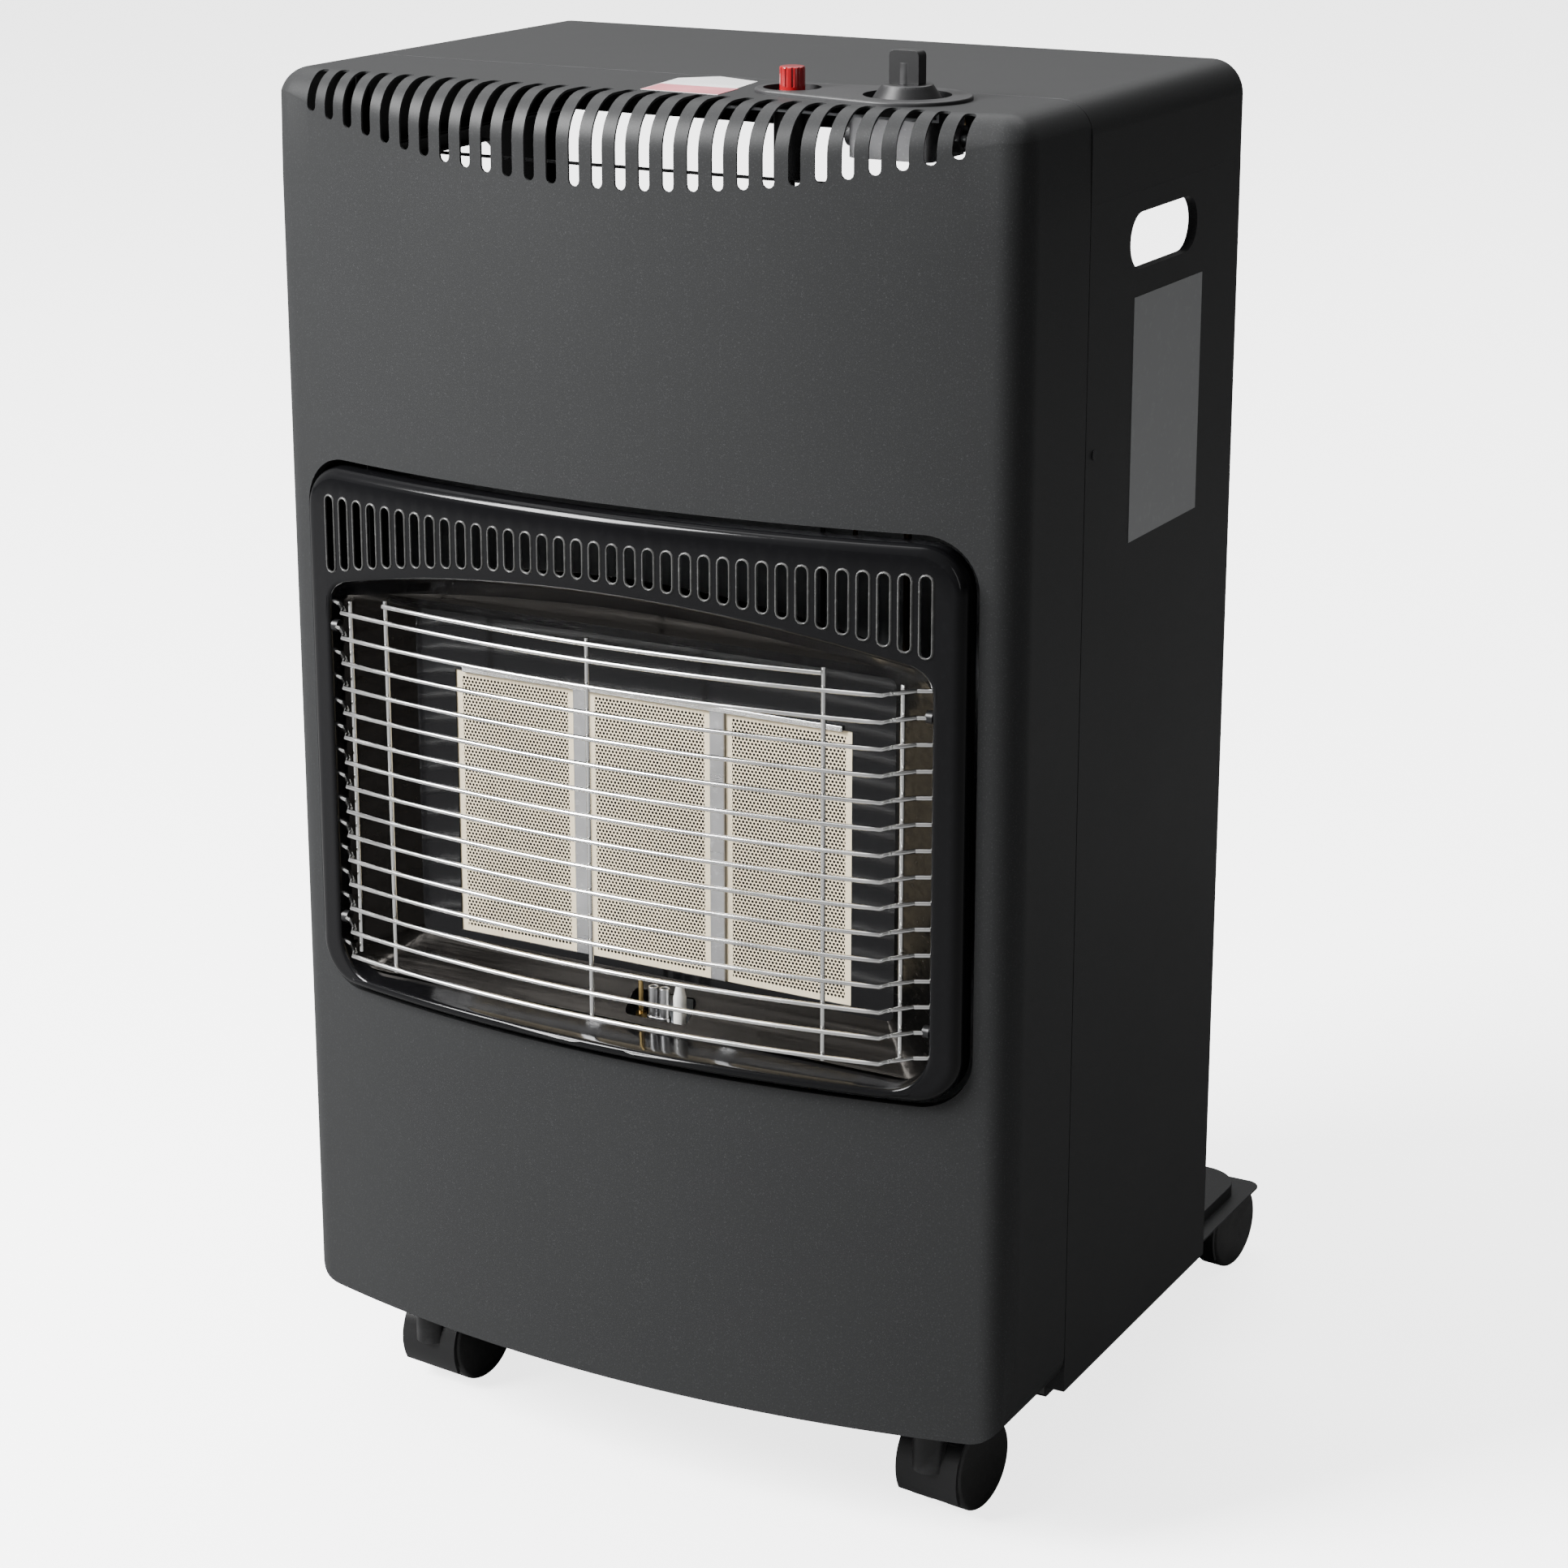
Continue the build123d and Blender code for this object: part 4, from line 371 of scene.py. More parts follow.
# The copper tubes are painted nearly black. This is painted shade, so that where they show through the grille
# slots they are as dark as the cabinet's shaded inside.
copper_painted_shade = finish_of(
    "copper_tube_painted_shade", (0.10, 0.065, 0.040), (0.07, 0.048, 0.032), 0.45, metallic=1.0,
    grain_scale=400.0, grain_depth=0.02, cloud_scale=50.0, cloud_tone=0.4,
)
black_sleeve = finish_of(
    "black_silicone_sleeve", (0.02, 0.02, 0.02), (0.035, 0.034, 0.033), 0.55, grain_scale=500.0,
)
silver_film = finish_of(
    "silver_label_film", (0.27, 0.275, 0.28), (0.32, 0.325, 0.33), 0.42, metallic=0.3,
    grain_scale=250.0, grain_depth=0.01, speckle=0.5, cloud_scale=30.0,
)
white_film = finish_of(
    "white_label_film", (0.78, 0.78, 0.78), (0.72, 0.72, 0.72), 0.35,
    grain_scale=250.0, grain_depth=0.01, speckle=0.4, cloud_scale=30.0,
)
pink_film = finish_of(
    "pink_label_print", (0.62, 0.20, 0.23), (0.70, 0.30, 0.32), 0.35,
    grain_scale=250.0, grain_depth=0.01, speckle=0.4, cloud_scale=30.0,
)
print("finishes", len(bpy.data.materials))

# %% [markdown]
# ## Mesh helpers
# Sheet metal is easiest to build as a grid: columns of points that follow the bend lines, joined by
# quads. A grid keeps its reflections clean, because every quad lies along the surface's own curves.
# Openings are quads left out, with the points around them placed on the opening's outline. The wall
# thickness comes last, from a Solidify modifier, and a narrow Bevel rounds the cut edges so that they
# catch the light. The finished shape is then turned into plain mesh.


# %% Grid and finishing helpers
@contextmanager
def opened(mesh):
    """Opens a mesh for changes and writes it back at the end."""
    work = bmesh.new()
    work.from_mesh(mesh)
    yield work
    work.to_mesh(mesh)
    work.free()


def face_front(work):
    """Turns all faces over if, weighed by their area, they look back."""
    if sum(f.normal.y * f.calc_area() for f in work.faces) > 0:
        bmesh.ops.reverse_faces(work, faces=work.faces)


def mesh_of(name, verts, faces):
    mesh = bpy.data.meshes.new(name)
    mesh.from_pydata(verts, [], faces)
    return mesh


def grid_mesh(name, columns, left_out, ring=False):
    """Quads over columns of points, from left to right and from the first row to the last."""
    count, rows = len(columns), len(columns[0])
    faces = []
    for i in range(count if ring else count - 1):
        k = (i + 1) % count
        for j in range(rows - 1):
            if not left_out(i, j):
                faces.append((i * rows + j, k * rows + j, k * rows + j + 1, i * rows + j + 1))
    return mesh_of(name, [tuple(p) for column in columns for p in column], faces)


def merge_points(mesh, reach=0.01):
    """Joins points closer than `reach` mm and drops faces that became lines."""
    with opened(mesh) as work:
        bmesh.ops.remove_doubles(work, verts=work.verts, dist=reach * MM)
        bmesh.ops.dissolve_degenerate(work, edges=work.edges, dist=reach * MM * 0.5)


def mark_edges(mesh, edge):
    """Writes 1 on the narrow faces that a bevel of `edge` mm has made, and 0 on all others."""
    marks = mesh.attributes.new("rounded_edge", "FLOAT", "FACE")
    lengths = [
        sum((mesh.vertices[a].co - mesh.vertices[b].co).length for a, b in polygon.edge_keys)
        for polygon in mesh.polygons
    ]
    values = [1.0 if 2 * p.area < 0.9 * edge * MM * n else 0.0 for p, n in zip(mesh.polygons, lengths)]
    marks.data.foreach_set("value", values)


def dress(piece, wall=0.0, edge=0.0, angle=40.0, steps=2):
    """Gives a piece its wall and rounded edges, then turns it into plain mesh."""
    piece.data.shade_smooth()
    if edge:
        piece.data.set_sharp_from_angle(angle=radians(angle))
    if wall:
        modifier = piece.modifiers.new("wall", "SOLIDIFY")
        modifier.thickness, modifier.offset = wall * MM, -1.0
    if edge:
        modifier = piece.modifiers.new("edge", "BEVEL")
        modifier.width, modifier.segments = edge * MM, steps
        modifier.limit_method, modifier.angle_limit = "ANGLE", radians(angle)
        modifier = piece.modifiers.new("normals", "WEIGHTED_NORMAL")
        modifier.keep_sharp, modifier.weight = True, 80
    graph = bpy.context.evaluated_depsgraph_get()
    plain = bpy.data.meshes.new_from_object(piece.evaluated_get(graph), depsgraph=graph)
    piece.modifiers.clear()
    piece.data = plain
    if not edge:
        plain.set_sharp_from_angle(angle=radians(angle))
    mark_edges(plain, edge)
    return piece


def settle(piece, material, body="cabinet", nodes=()):
    """Gives a piece its finish, its body and the frame nodes it stands for."""
    piece.data.materials.clear()
    piece.data.materials.append(material)
    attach(piece, body)
    if nodes:
        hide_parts(*nodes)
    print(piece.name, len(piece.data.polygons), "faces on", body)


# %% [markdown]
# ## Front cover
# The front cover is one pressed sheet: a bowed front, rounded upright corners, a rounded top edge and
# short straight sides that end at the seam. Twenty-nine vent slots run over the top edge, and a large
# rounded window holds the burner's surround. It could be cut out of a solid with booleans, but a thin
# sheet with so many rounded slots shades badly that way. Here it is a grid of upright columns. Each
# column climbs the wall, rolls over the top edge and runs back to the seam. Columns are set close at
# the slots' rounded ends, and the rows bend there, so the slots are simply quads left out.

# %% Sizes of the front cover
BOW_R, BOW_DEPTH = 760.0, 101.7
BOW_CENTRE = BOW_R - BOW_DEPTH
CORNER_R, ROLL_R, FOOT_R = 18.0, 17.0, 19.0
COVER_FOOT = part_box("front_cover")[0][2] / MM
SHEET = 1.2
corner_x = HALF_W - CORNER_R
corner_y = BOW_CENTRE - sqrt((BOW_R - CORNER_R) ** 2 - corner_x**2)
corner_turn = asin(corner_x / (BOW_R - CORNER_R))
bow_end_x = BOW_R * sin(corner_turn)
VENT_PITCH, VENT_HALF, VENT_BACK_Y = 12.8, 3.0, -69.0
VENT_DROP, VENT_RISE = 42.8, 1388.0
vent_xs = [VENT_PITCH * (i - 14) for i in range(29)]
WINDOW = {"half": 191.7, "low": 246.7, "top": 534.5, "r": 27.0}
MIDDLE_ROLL, ROLL_FROM, ROLL_OVER = 6.0, 80.0, 90.0
LAST_VENT_X, FAN_FROM_X = 183.5, 184.0
CORNER_VENT_LOW, CORNER_VENT_BACK = 5.0, 15.5
FOOT_DEPTH, FOOT_DEPTH_AT_SIDES = 10.0, 7.6
print("corner centre", round(corner_x, 1), round(corner_y, 2), "bow ends at", round(bow_end_x, 1))


# %% Curves that the columns follow
def smooth(t):
    t = min(1.0, max(0.0, t))
    return t * t * (3 - 2 * t)


def roll_r(x):
    """Radius of the rounded top edge: fuller in the middle of the bow than at the corners."""
    return ROLL_R + MIDDLE_ROLL * (1.0 - smooth((abs(x) - ROLL_FROM) / ROLL_OVER))


def vent_low(x):
    """Height at which a vent starts on the wall."""
    return TOP_Z - VENT_DROP + x * x / VENT_RISE


def foot_z(x):
    """Height of the cover's lower edge, which turns up round the corners."""
    over = abs(x) - (HALF_W - FOOT_R)
    return COVER_FOOT if over <= 0 else COVER_FOOT + FOOT_R - sqrt(max(0.0, FOOT_R**2 - over**2))


def bow_point(x, inset, z):
    """A point on the bow, moved inwards; near the corners the columns fan out."""
    fan = smooth((abs(x) - FAN_FROM_X) / (bow_end_x - FAN_FROM_X))
    px = x - fan * x / BOW_R * inset
    return px, BOW_CENTRE - sqrt((BOW_R - inset) ** 2 - px**2), z


def roll(s, r):
    """Inset and height on the rounded edge at length `s` from where it starts."""
    if s <= 0:
        return 0.0, TOP_Z - r + s
    turn = min(s / r, pi / 2)
    return r - r * cos(turn), TOP_Z - r + r * sin(turn)


def length_at_z(z, r):
    return z - (TOP_Z - r) if z <= TOP_Z - r else r * asin(min(1.0, (z - TOP_Z + r) / r))


def length_at_y(x, y, r):
    radius = hypot(BOW_CENTRE - y, x)
    if radius >= BOW_R - r:
        return r * acos(min(1.0, max(-1.0, (radius - BOW_R + r) / r)))
    return r * pi / 2 + y - (BOW_CENTRE - sqrt((BOW_R - r) ** 2 - x**2))


# %% Places of the columns
def near(values, x, reach):
    """The value closest to x, if it lies within reach."""
    closest = min(values, key=lambda v: abs(v - x))
    return closest if abs(closest - x) <= reach + 1e-6 else None


CORNER_CUTS, WELL_CUTS = [186.0, 188.5, 190.5, 192.5, 194.5], (14.2, 11.8, 9.2, 6.4, 3.2)
SEAM_GAP, SIDE_ROWS, TURN_ROWS = 0.8, 24, 10
cuts = [0.0, LAST_VENT_X, *CORNER_CUTS, bow_end_x]
cuts += [WINDOW["half"] - WINDOW["r"] + WINDOW["r"] * sin(k * pi / 20) for k in range(11)]
cuts = sorted({round(c, 4) for c in cuts} | {-round(c, 4) for c in cuts})
steps_in_slot = [VENT_HALF * sin(k * pi / 6) for k in range(-3, 4)]
cuts += [x0 + step for x0 in vent_xs for step in steps_in_slot]
cuts = sorted({round(c, 3) for c in cuts})
KNOB_AT, BUTTON_AT = (130.0, -34.5), (69.0, -35.0)
WELLS = ((KNOB_AT, 21.5), (BUTTON_AT, 14.3))
extra = [BUTTON_AT[0] - step for step in WELL_CUTS]
cuts = sorted(cuts + [x for x in extra if min(abs(x - c) for c in cuts) > 0.4])
plan = [("bow", x) for x in cuts]
turns = [corner_turn + (pi / 2 - corner_turn) * k / TURN_ROWS for k in range(1, TURN_ROWS + 1)]
side_ys = [corner_y + (-SEAM_GAP - corner_y) * k / SIDE_ROWS for k in range(1, SIDE_ROWS + 1)]
plan = (
    [("side", -HALF_W, y) for y in reversed(side_ys)]
    + [("corner", -1, t) for t in reversed(turns)]
    + plan
    + [("corner", 1, t) for t in turns]
    + [("side", HALF_W, y) for y in side_ys]
)


# %% Columns of the front cover
def wall_point(place, inset, z):
    """Point of a column at height z, moved inwards by `inset`."""
    if place[0] == "bow":
        return at(*bow_point(place[1], inset, z))
    if place[0] == "corner":
        reach = CORNER_R - inset
        return at(place[1] * (corner_x + reach * sin(place[2])), corner_y - reach * cos(place[2]), z)
    return at(place[1] - (1 if place[1] > 0 else -1) * inset, place[2], z)


def foot_points(place, side_share):
    """The turned-in foot, from its inner edge to the wall."""
    depth = FOOT_DEPTH + FOOT_DEPTH_AT_SIDES * side_share
    points = [wall_point(place, depth * (1 - cos(k * pi / 12)), 0.0) for k in range(6, 0, -1)]
    return [Vector((p.x, p.y, foot_z(p.x / MM) * MM)) for p in points]


def vent_ends(x, slot_x, r, share):
    """Lengths on the rounded edge at which the vents' rows begin and end."""
    low_end, back_end = vent_low(x) + VENT_HALF, VENT_BACK_Y
    if slot_x is not None:
        end = sqrt(max(0.0, VENT_HALF**2 - (x - slot_x) ** 2))
        low_end, back_end = vent_low(slot_x) + VENT_HALF - end, VENT_BACK_Y + end
    if share <= 0:
        return length_at_z(low_end, r), length_at_y(x, back_end, r)
    edge_x = min(abs(x), LAST_VENT_X)
    rim = roll_r(edge_x)
    s_low = length_at_z(vent_low(edge_x) + VENT_HALF, rim) * (1 - share) + CORNER_VENT_LOW * share
    return s_low, length_at_y(edge_x, VENT_BACK_Y, rim) * (1 - share) + CORNER_VENT_BACK * share


def cover_column(place):
    """All points of one column, from the foot over the wall and the rounded edge to the seam."""
    kind = place[0]
    x = place[1] if kind == "bow" else (1 if place[1] > 0 else -1) * HALF_W
    r = roll_r(x)
    on_wall = wall_point(place, 0.0, 0.0)
    side_share = {"bow": 0.0, "side": 1.0}.get(kind)
    if side_share is None:
        side_share = (place[2] - corner_turn) / (pi / 2 - corner_turn)
    points = foot_points(place, side_share)
    foot = foot_z(on_wall.x / MM)
    # the wall, up to the window, past it and on to the vents
    window_low, window_top = WINDOW["low"] + WINDOW["r"], WINDOW["top"] - WINDOW["r"]
    if abs(x) < WINDOW["half"] and kind == "bow":
        over = max(0.0, abs(x) - WINDOW["half"] + WINDOW["r"])
        bend = WINDOW["r"] - sqrt(max(0.0, WINDOW["r"] ** 2 - over**2))
        window_low, window_top = WINDOW["low"] + bend, WINDOW["top"] - bend
    heights = [foot + (window_low - foot) * k / 4 for k in range(5)]
    heights += [window_low + (window_top - window_low) * k / 4 for k in range(1, 5)]
    slot_x = near(vent_xs, x, VENT_HALF) if kind == "bow" else None
    share = 1.0 if kind != "bow" else max(0.0, (abs(x) - LAST_VENT_X) / (bow_end_x - LAST_VENT_X))
    s_low, s_back = vent_ends(x, slot_x, r, share)
    s_top = length_at_z(window_top, r)
    lengths = [s_top + (s_low - s_top) * k / 5 for k in range(1, 6)]
    lengths += [s_low + (s_back - s_low) * k / 16 for k in range(1, 17)]
    s_turn = s_last = r * pi / 2
    if kind == "bow":
        s_last = s_turn + max(0.0, corner_y - bow_point(x, r, 0)[1])
    lengths += [s_back + (s_last - s_back) * k / 6 for k in range(1, 7)]
    points += [wall_point(place, 0.0, z) for z in heights]
    for s in lengths:
        p = wall_point(place, *roll(s, r))
        if s > s_turn:
            p.y += (s - s_turn) * MM
        points.append(p)
    # the flat top, back to the seam
    last = points[-1]
    for y in side_ys:
        points.append(last.copy() if kind == "side" else Vector((last.x, SEAM + y * MM, last.z)))
    return points


# %% Openings of the front cover
cover_columns = [cover_column(place) for place in plan]
WINDOW_ROWS = range(10, 14)
VENT_ROWS = range(19, 35)
FLAT_ROW = len(cover_columns[0]) - len(side_ys) - 1


def over_well(i, j):
    """Whether a cell of the flat top reaches over one of the two control wells."""
    corners = [cover_columns[m][n] / MM for m in (i, i + 1) for n in (j, j + 1)]
    xs, ys = [c.x for c in corners], [c.y - SEAM / MM for c in corners]
    for (x, y), r in WELLS:
        if hypot(max(min(xs) - x, 0, x - max(xs)), max(min(ys) - y, 0, y - max(ys))) < r:
            return True
    return False


def in_opening(i, j):
    """Whether a cell lies in the window, a vent or a well, or has no width."""
    a, b = plan[i], plan[i + 1]
    if a[0] != "bow" or b[0] != "bow":
        return j >= FLAT_ROW and "side" in (a[0], b[0])
    middle = (a[1] + b[1]) / 2
    if j in WINDOW_ROWS and abs(middle) < WINDOW["half"]:
        return True
    if j > VENT_ROWS[-1]:
        return over_well(i, j)
    return j in VENT_ROWS and near(vent_xs, middle, VENT_HALF) is not None


cover_mesh = grid_mesh("front_cover_sheet", cover_columns, in_opening)
merge_points(cover_mesh)
print("cover columns", len(plan), "rows", len(cover_columns[0]))


# %% [markdown]
# The window's edge is turned back by five millimetres, as on the real pressing. Only the edges round
# the window have one face, lie inside its outline and are on the bow, so they can be picked by place
# and extruded straight back towards the bow's axis.

# %% Window lip
LIP_DEPTH = 5.0


def in_window(place):
    """Whether a point lies inside the window's outline."""
    low, top = (WINDOW["low"] - 0.1) * MM, (WINDOW["top"] + 0.1) * MM
    return abs(place.x) < (WINDOW["half"] + 0.1) * MM and low < place.z < top


with opened(cover_mesh) as work:
    rim = [e for e in work.edges if len(e.link_faces) == 1 and all(in_window(v.co) for v in e.verts)]
    grown = bmesh.ops.extrude_edge_only(work, edges=rim)["geom"]
    for v in (g for g in grown if isinstance(g, bmesh.types.BMVert)):
        back = Vector((-v.co.x, SEAM + BOW_CENTRE * MM - v.co.y, 0)).normalized()
        v.co += back * LIP_DEPTH * MM
    bmesh.ops.recalc_face_normals(work, faces=work.faces)
    face_front(work)
    print("window lip edges", len(rim))
front_cover = dress(new_object("front_cover_pressing", cover_mesh), wall=SHEET)
settle(front_cover, powder_coat, nodes=["front_cover"])

# %% [markdown]
# ## Sheet parts that keep the frame's shape
# The top cover, the side panels, the tray and the plates behind them are already right in the frame.
# Its meshes are loose triangles, though, and cannot shade smoothly or take a bevel. A merged copy can:
# points are joined, flat triangles are dissolved into plates, sharp edges get a narrow bevel, and the
# copy takes the place of the frame's own piece.


# %% Smooth copies of frame pieces
MERGE_REACH, FLAT_ANGLE, COPY_ANGLE = 0.004, 0.4, 35.0


def smooth_copy(node, material, body="cabinet", edge=0.0, steps=2, change=None):
    """A merged, smoothly shaded copy of one frame node that stands for it."""
    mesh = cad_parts[node].data.copy()
    mesh.name = node + "_skin"
    mesh.materials.clear()
    if change:
        change(mesh)
    with opened(mesh) as work:
        bmesh.ops.remove_doubles(work, verts=work.verts, dist=MERGE_REACH * MM)
        if not change:
            bmesh.ops.dissolve_limit(work, angle_limit=radians(FLAT_ANGLE), verts=work.verts, edges=work.edges)
    if "custom_normal" in mesh.attributes:
        mesh.attributes.remove(mesh.attributes["custom_normal"])
    piece = dress(new_object(node + "_skin", mesh), edge=edge, angle=COPY_ANGLE, steps=steps)
    settle(piece, material, body, [node])


BAR_HEIGHT = 1.6


def clear_vents(mesh):
    """Narrows the bar along the top cover's front opening, so that the vents look into the open."""
    low = min(v.co.z for v in mesh.vertices)
    for v in mesh.vertices:
        inside = abs(v.co.y - SEAM) < 3 * MM and abs(v.co.x) < (HALF_W - 5) * MM
        if inside and 5 * MM < v.co.z - low < 15 * MM:
            v.co.z = low + BAR_HEIGHT * MM


smooth_copy("top_cover", powder_coat, edge=0.5, change=clear_vents)
smooth_copy("left_side_panel", powder_coat, edge=0.5)
smooth_copy("right_side_panel", powder_coat, edge=0.5)
smooth_copy("base_tray", powder_coat, edge=0.3)
smooth_copy("heat_shield", zinc_sheet, edge=0.2)

# %% [markdown]
# ## Surround
# The surround is a pressed steel frame in gloss enamel. It stands a few millimetres proud of the cover
# behind a dark groove, rolls over a rounded shoulder, and carries a row of thirty-five grille slots
# above an arched mouth. It is one ring of columns that run from the outer edge to the mouth. Over the
# arch they stand upright and are set close, so that the slots can be left out like the vents. Round the
# rest they fan from the outer outline to the mouth's. The section across the sheet is a short list of
# distances from each edge and heights above the bow.

# %% Outlines of the surround
OUT = {"half": 188.0, "low": 250.4, "top": 530.8, "r": 23.3}
MOUTH = {"half": 172.8, "low": 256.5, "top": 490.3, "arch": 0.00072, "r_top": 14.0, "r_low": 22.0}
GRILLE_PITCH, GRILLE_HALF, GRILLE_TOP, GRILLE_LOW = 10.0, 2.75, 516.5, 497.5
BROW_TOP, BROW_ARCH, BROW_DROP = 476.0, 0.00048, 0.8
MOUTH_BACK_HALF, MOUTH_BACK_Y = 172.0, -81.0
grille_xs = [GRILLE_PITCH * (i - 17) for i in range(35)]
lean = atan(2 * MOUTH["arch"] * (MOUTH["half"] - MOUTH["r_top"]))
tip_x = MOUTH["half"] - MOUTH["r_top"] * (1 - sin(lean))
arch_z = MOUTH["top"] - MOUTH["arch"] * tip_x**2 - MOUTH["r_top"] * cos(lean)
arch_corner = Vector((MOUTH["half"] - MOUTH["r_top"], arch_z))
outer_corner = Vector((OUT["half"] - OUT["r"], OUT["top"] - OUT["r"]))


def on_bow(x, proud, z):
    """A place in front of the bow by `proud` mm at the given x."""
    return at(x, BOW_CENTRE - sqrt((BOW_R + proud) ** 2 - x * x), z)


def upper_outline(x):
    """Outer edge above x and its outward direction."""
    over = max(0.0, abs(x) - outer_corner.x)
    side = 1 if x > 0 else -1
    out = Vector((side * over / OUT["r"], sqrt(1 - (over / OUT["r"]) ** 2)))
    return Vector((x, outer_corner.y + OUT["r"] * out.y)), out


def arch_outline(x):
    """Mouth's arch at x and the direction into the sheet."""
    side = 1 if x > 0 else -1
    if abs(x) <= tip_x:
        return Vector((x, MOUTH["top"] - MOUTH["arch"] * x * x)), Vector((2 * MOUTH["arch"] * x, 1)).normalized()
    over = min(1.0, (abs(x) - arch_corner.x) / MOUTH["r_top"])
    out = Vector((side * over, sqrt(1 - over * over)))
    return Vector((x, arch_corner.y + MOUTH["r_top"] * out.y)), out


# %% Stations round the surround
RIGHT, DOWN, INNER_STEP = Vector((1, 0)), Vector((0, -1)), 6


def station(outer, out, inner, into):
    """A place on each outline, and the direction away from the mouth at both."""
    return Vector(outer), out, Vector(inner), into


band_xs = [x0 + GRILLE_HALF * sin(k * pi / 6) for x0 in grille_xs for k in range(-3, 4)]
band_xs[0], band_xs[-1] = -MOUTH["half"], MOUTH["half"]
band = [(*upper_outline(x), *arch_outline(x)) for x in reversed(band_xs)]
first_turn = asin((MOUTH["half"] - outer_corner.x) / OUT["r"])
outer_foot, inner_foot = OUT["low"] + OUT["r"], MOUTH["low"] + MOUTH["r_low"]
side_top = arch_corner.y - 8 * INNER_STEP
right_side = []
for k in range(1, 9):
    turn = first_turn + (pi / 2 - first_turn) * k / 8
    out = Vector((sin(turn), cos(turn)))
    inner = (MOUTH["half"], arch_corner.y - INNER_STEP * k)
    right_side.append(station(outer_corner + out * OUT["r"], out, inner, RIGHT))
for k in range(1, 9):
    outer = (OUT["half"], outer_corner.y + (outer_foot - outer_corner.y) * k / 8)
    inner = (MOUTH["half"], side_top + (inner_foot - side_top) * k / 8)
    right_side.append(station(outer, RIGHT, inner, RIGHT))
for k in range(1, 13):
    out = Vector((cos(k * pi / 24), -sin(k * pi / 24)))
    outer = Vector((outer_corner.x, outer_foot)) + out * OUT["r"]
    inner = Vector((MOUTH["half"] - MOUTH["r_low"], inner_foot)) + out * MOUTH["r_low"]
    right_side.append(station(outer, out, inner, out))
bottom = []
for k in range(1, 48):
    share = 1 - 2 * k / 48
    inner = ((MOUTH["half"] - MOUTH["r_low"]) * share, MOUTH["low"])
    bottom.append(station((outer_corner.x * share, OUT["low"]), DOWN, inner, DOWN))
mirror = Matrix(((-1, 0), (0, 1)))
left_side = [tuple(mirror @ v for v in spot) for spot in reversed(right_side)]
stations = right_side + bottom + left_side + list(reversed(band))
print("stations", len(stations), "band", len(band))

# %% Section across the surround
SHOULDER = [(0.0, -5.5), (0.0, -2.0), (0.0, 1.6), (0.25, 3.2), (0.9, 4.7), (2.0, 5.9), (3.4, 6.7), (5.0, 7.0)]
ROLL_IN = [(2.6, 7.0), (1.5, 6.8), (0.7, 6.25), (0.2, 5.4), (0.0, 4.4)]
FRONT_PROUD, SECTION_WIDTH, ENAMEL_WALL = SHOULDER[-1][1], 7.8, 0.8
BAND_ROWS = range(len(SHOULDER), len(SHOULDER) + 4)


def slot_span(x):
    """Upper and lower end of the grille slot at x."""
    x0 = near(grille_xs, x, GRILLE_HALF + 0.1)
    end = GRILLE_HALF - sqrt(max(0.0, GRILLE_HALF**2 - (x - x0) ** 2))
    return GRILLE_TOP - end, GRILLE_LOW - MOUTH["arch"] * x0 * x0 + end


def edge_points(edge, into, section, narrow):
    """A section's points, each moved from the edge into the sheet and lifted off the bow."""
    places = [(edge + into * distance * narrow, proud) for distance, proud in section]
    return [on_bow(p.x, proud, p.y) for p, proud in places]


def surround_column(spot, in_band):
    """All points from the outer edge to the mouth and along the mouth's wall."""
    outer, out, inner, into = spot
    narrow = min(1.0, (outer - inner).length / SECTION_WIDTH)
    start, end = outer - out * SHOULDER[-1][0] * narrow, inner + into * ROLL_IN[0][0] * narrow
    if in_band:
        high, low = slot_span(outer.x)
        plain = [Vector((outer.x, high + (low - high) * k / 4)) for k in range(5)]
    else:
        plain = [start.lerp(end, (k + 1) / 6) for k in range(5)]
    points = edge_points(outer, -out, SHOULDER, narrow)
    points += [on_bow(p.x, FRONT_PROUD, p.y) for p in plain]
    points += edge_points(inner, into, ROLL_IN, narrow)
    # the mouth's wall, which runs back to the reflector; under the arch it slopes down to the brow
    if in_band:
        brow = min(BROW_TOP - BROW_ARCH * inner.x**2, inner.y - BROW_DROP)
    else:
        brow = inner.y + (BROW_DROP if into.y < 0 else 0)
    back = at(inner.x * MOUTH_BACK_HALF / MOUTH["half"], MOUTH_BACK_Y, brow)
    return points + [points[-1].lerp(back, k / 5) for k in range(1, 6)]


band_start = len(stations) - len(band)
surround_columns = [surround_column(s, i >= band_start) for i, s in enumerate(stations)]


def in_grille(i, j):
    """Whether a cell lies in one of the grille slots."""
    if i < band_start or i + 1 >= len(stations) or j not in BAND_ROWS:
        return False
    return near(grille_xs, (stations[i][0].x + stations[i + 1][0].x) / 2, GRILLE_HALF) is not None


surround_mesh = grid_mesh("burner_surround_sheet", surround_columns, in_grille, ring=True)
merge_points(surround_mesh, 0.005)
with opened(surround_mesh) as work:
    face_front(work)
surround = dress(new_object("burner_surround_pressing", surround_mesh), wall=ENAMEL_WALL)
settle(surround, gloss_enamel, nodes=["burner_surround"])

# %% [markdown]
# Round each slot the sheet is drawn up into a thin lip. It is a narrow ridge that starts inside the slot
# and ends on the sheet. Its finish is a mid grey, a painted highlight for the glint along the row.


# %% Outline of a slot
ARC_STEPS = 6


def slot_line(x0, grow):
    """Outline of one grille slot, moved outwards by `grow`."""
    low = GRILLE_LOW - MOUTH["arch"] * x0 * x0 + GRILLE_HALF
    high = GRILLE_TOP - GRILLE_HALF
    reach = GRILLE_HALF + grow
    turns = [k * pi / ARC_STEPS for k in range(ARC_STEPS + 1)]
    lower = [(x0 - reach * cos(t), low - reach * sin(t)) for t in turns]
    return lower + [(x0 + reach * cos(t), high + reach * sin(t)) for t in turns]


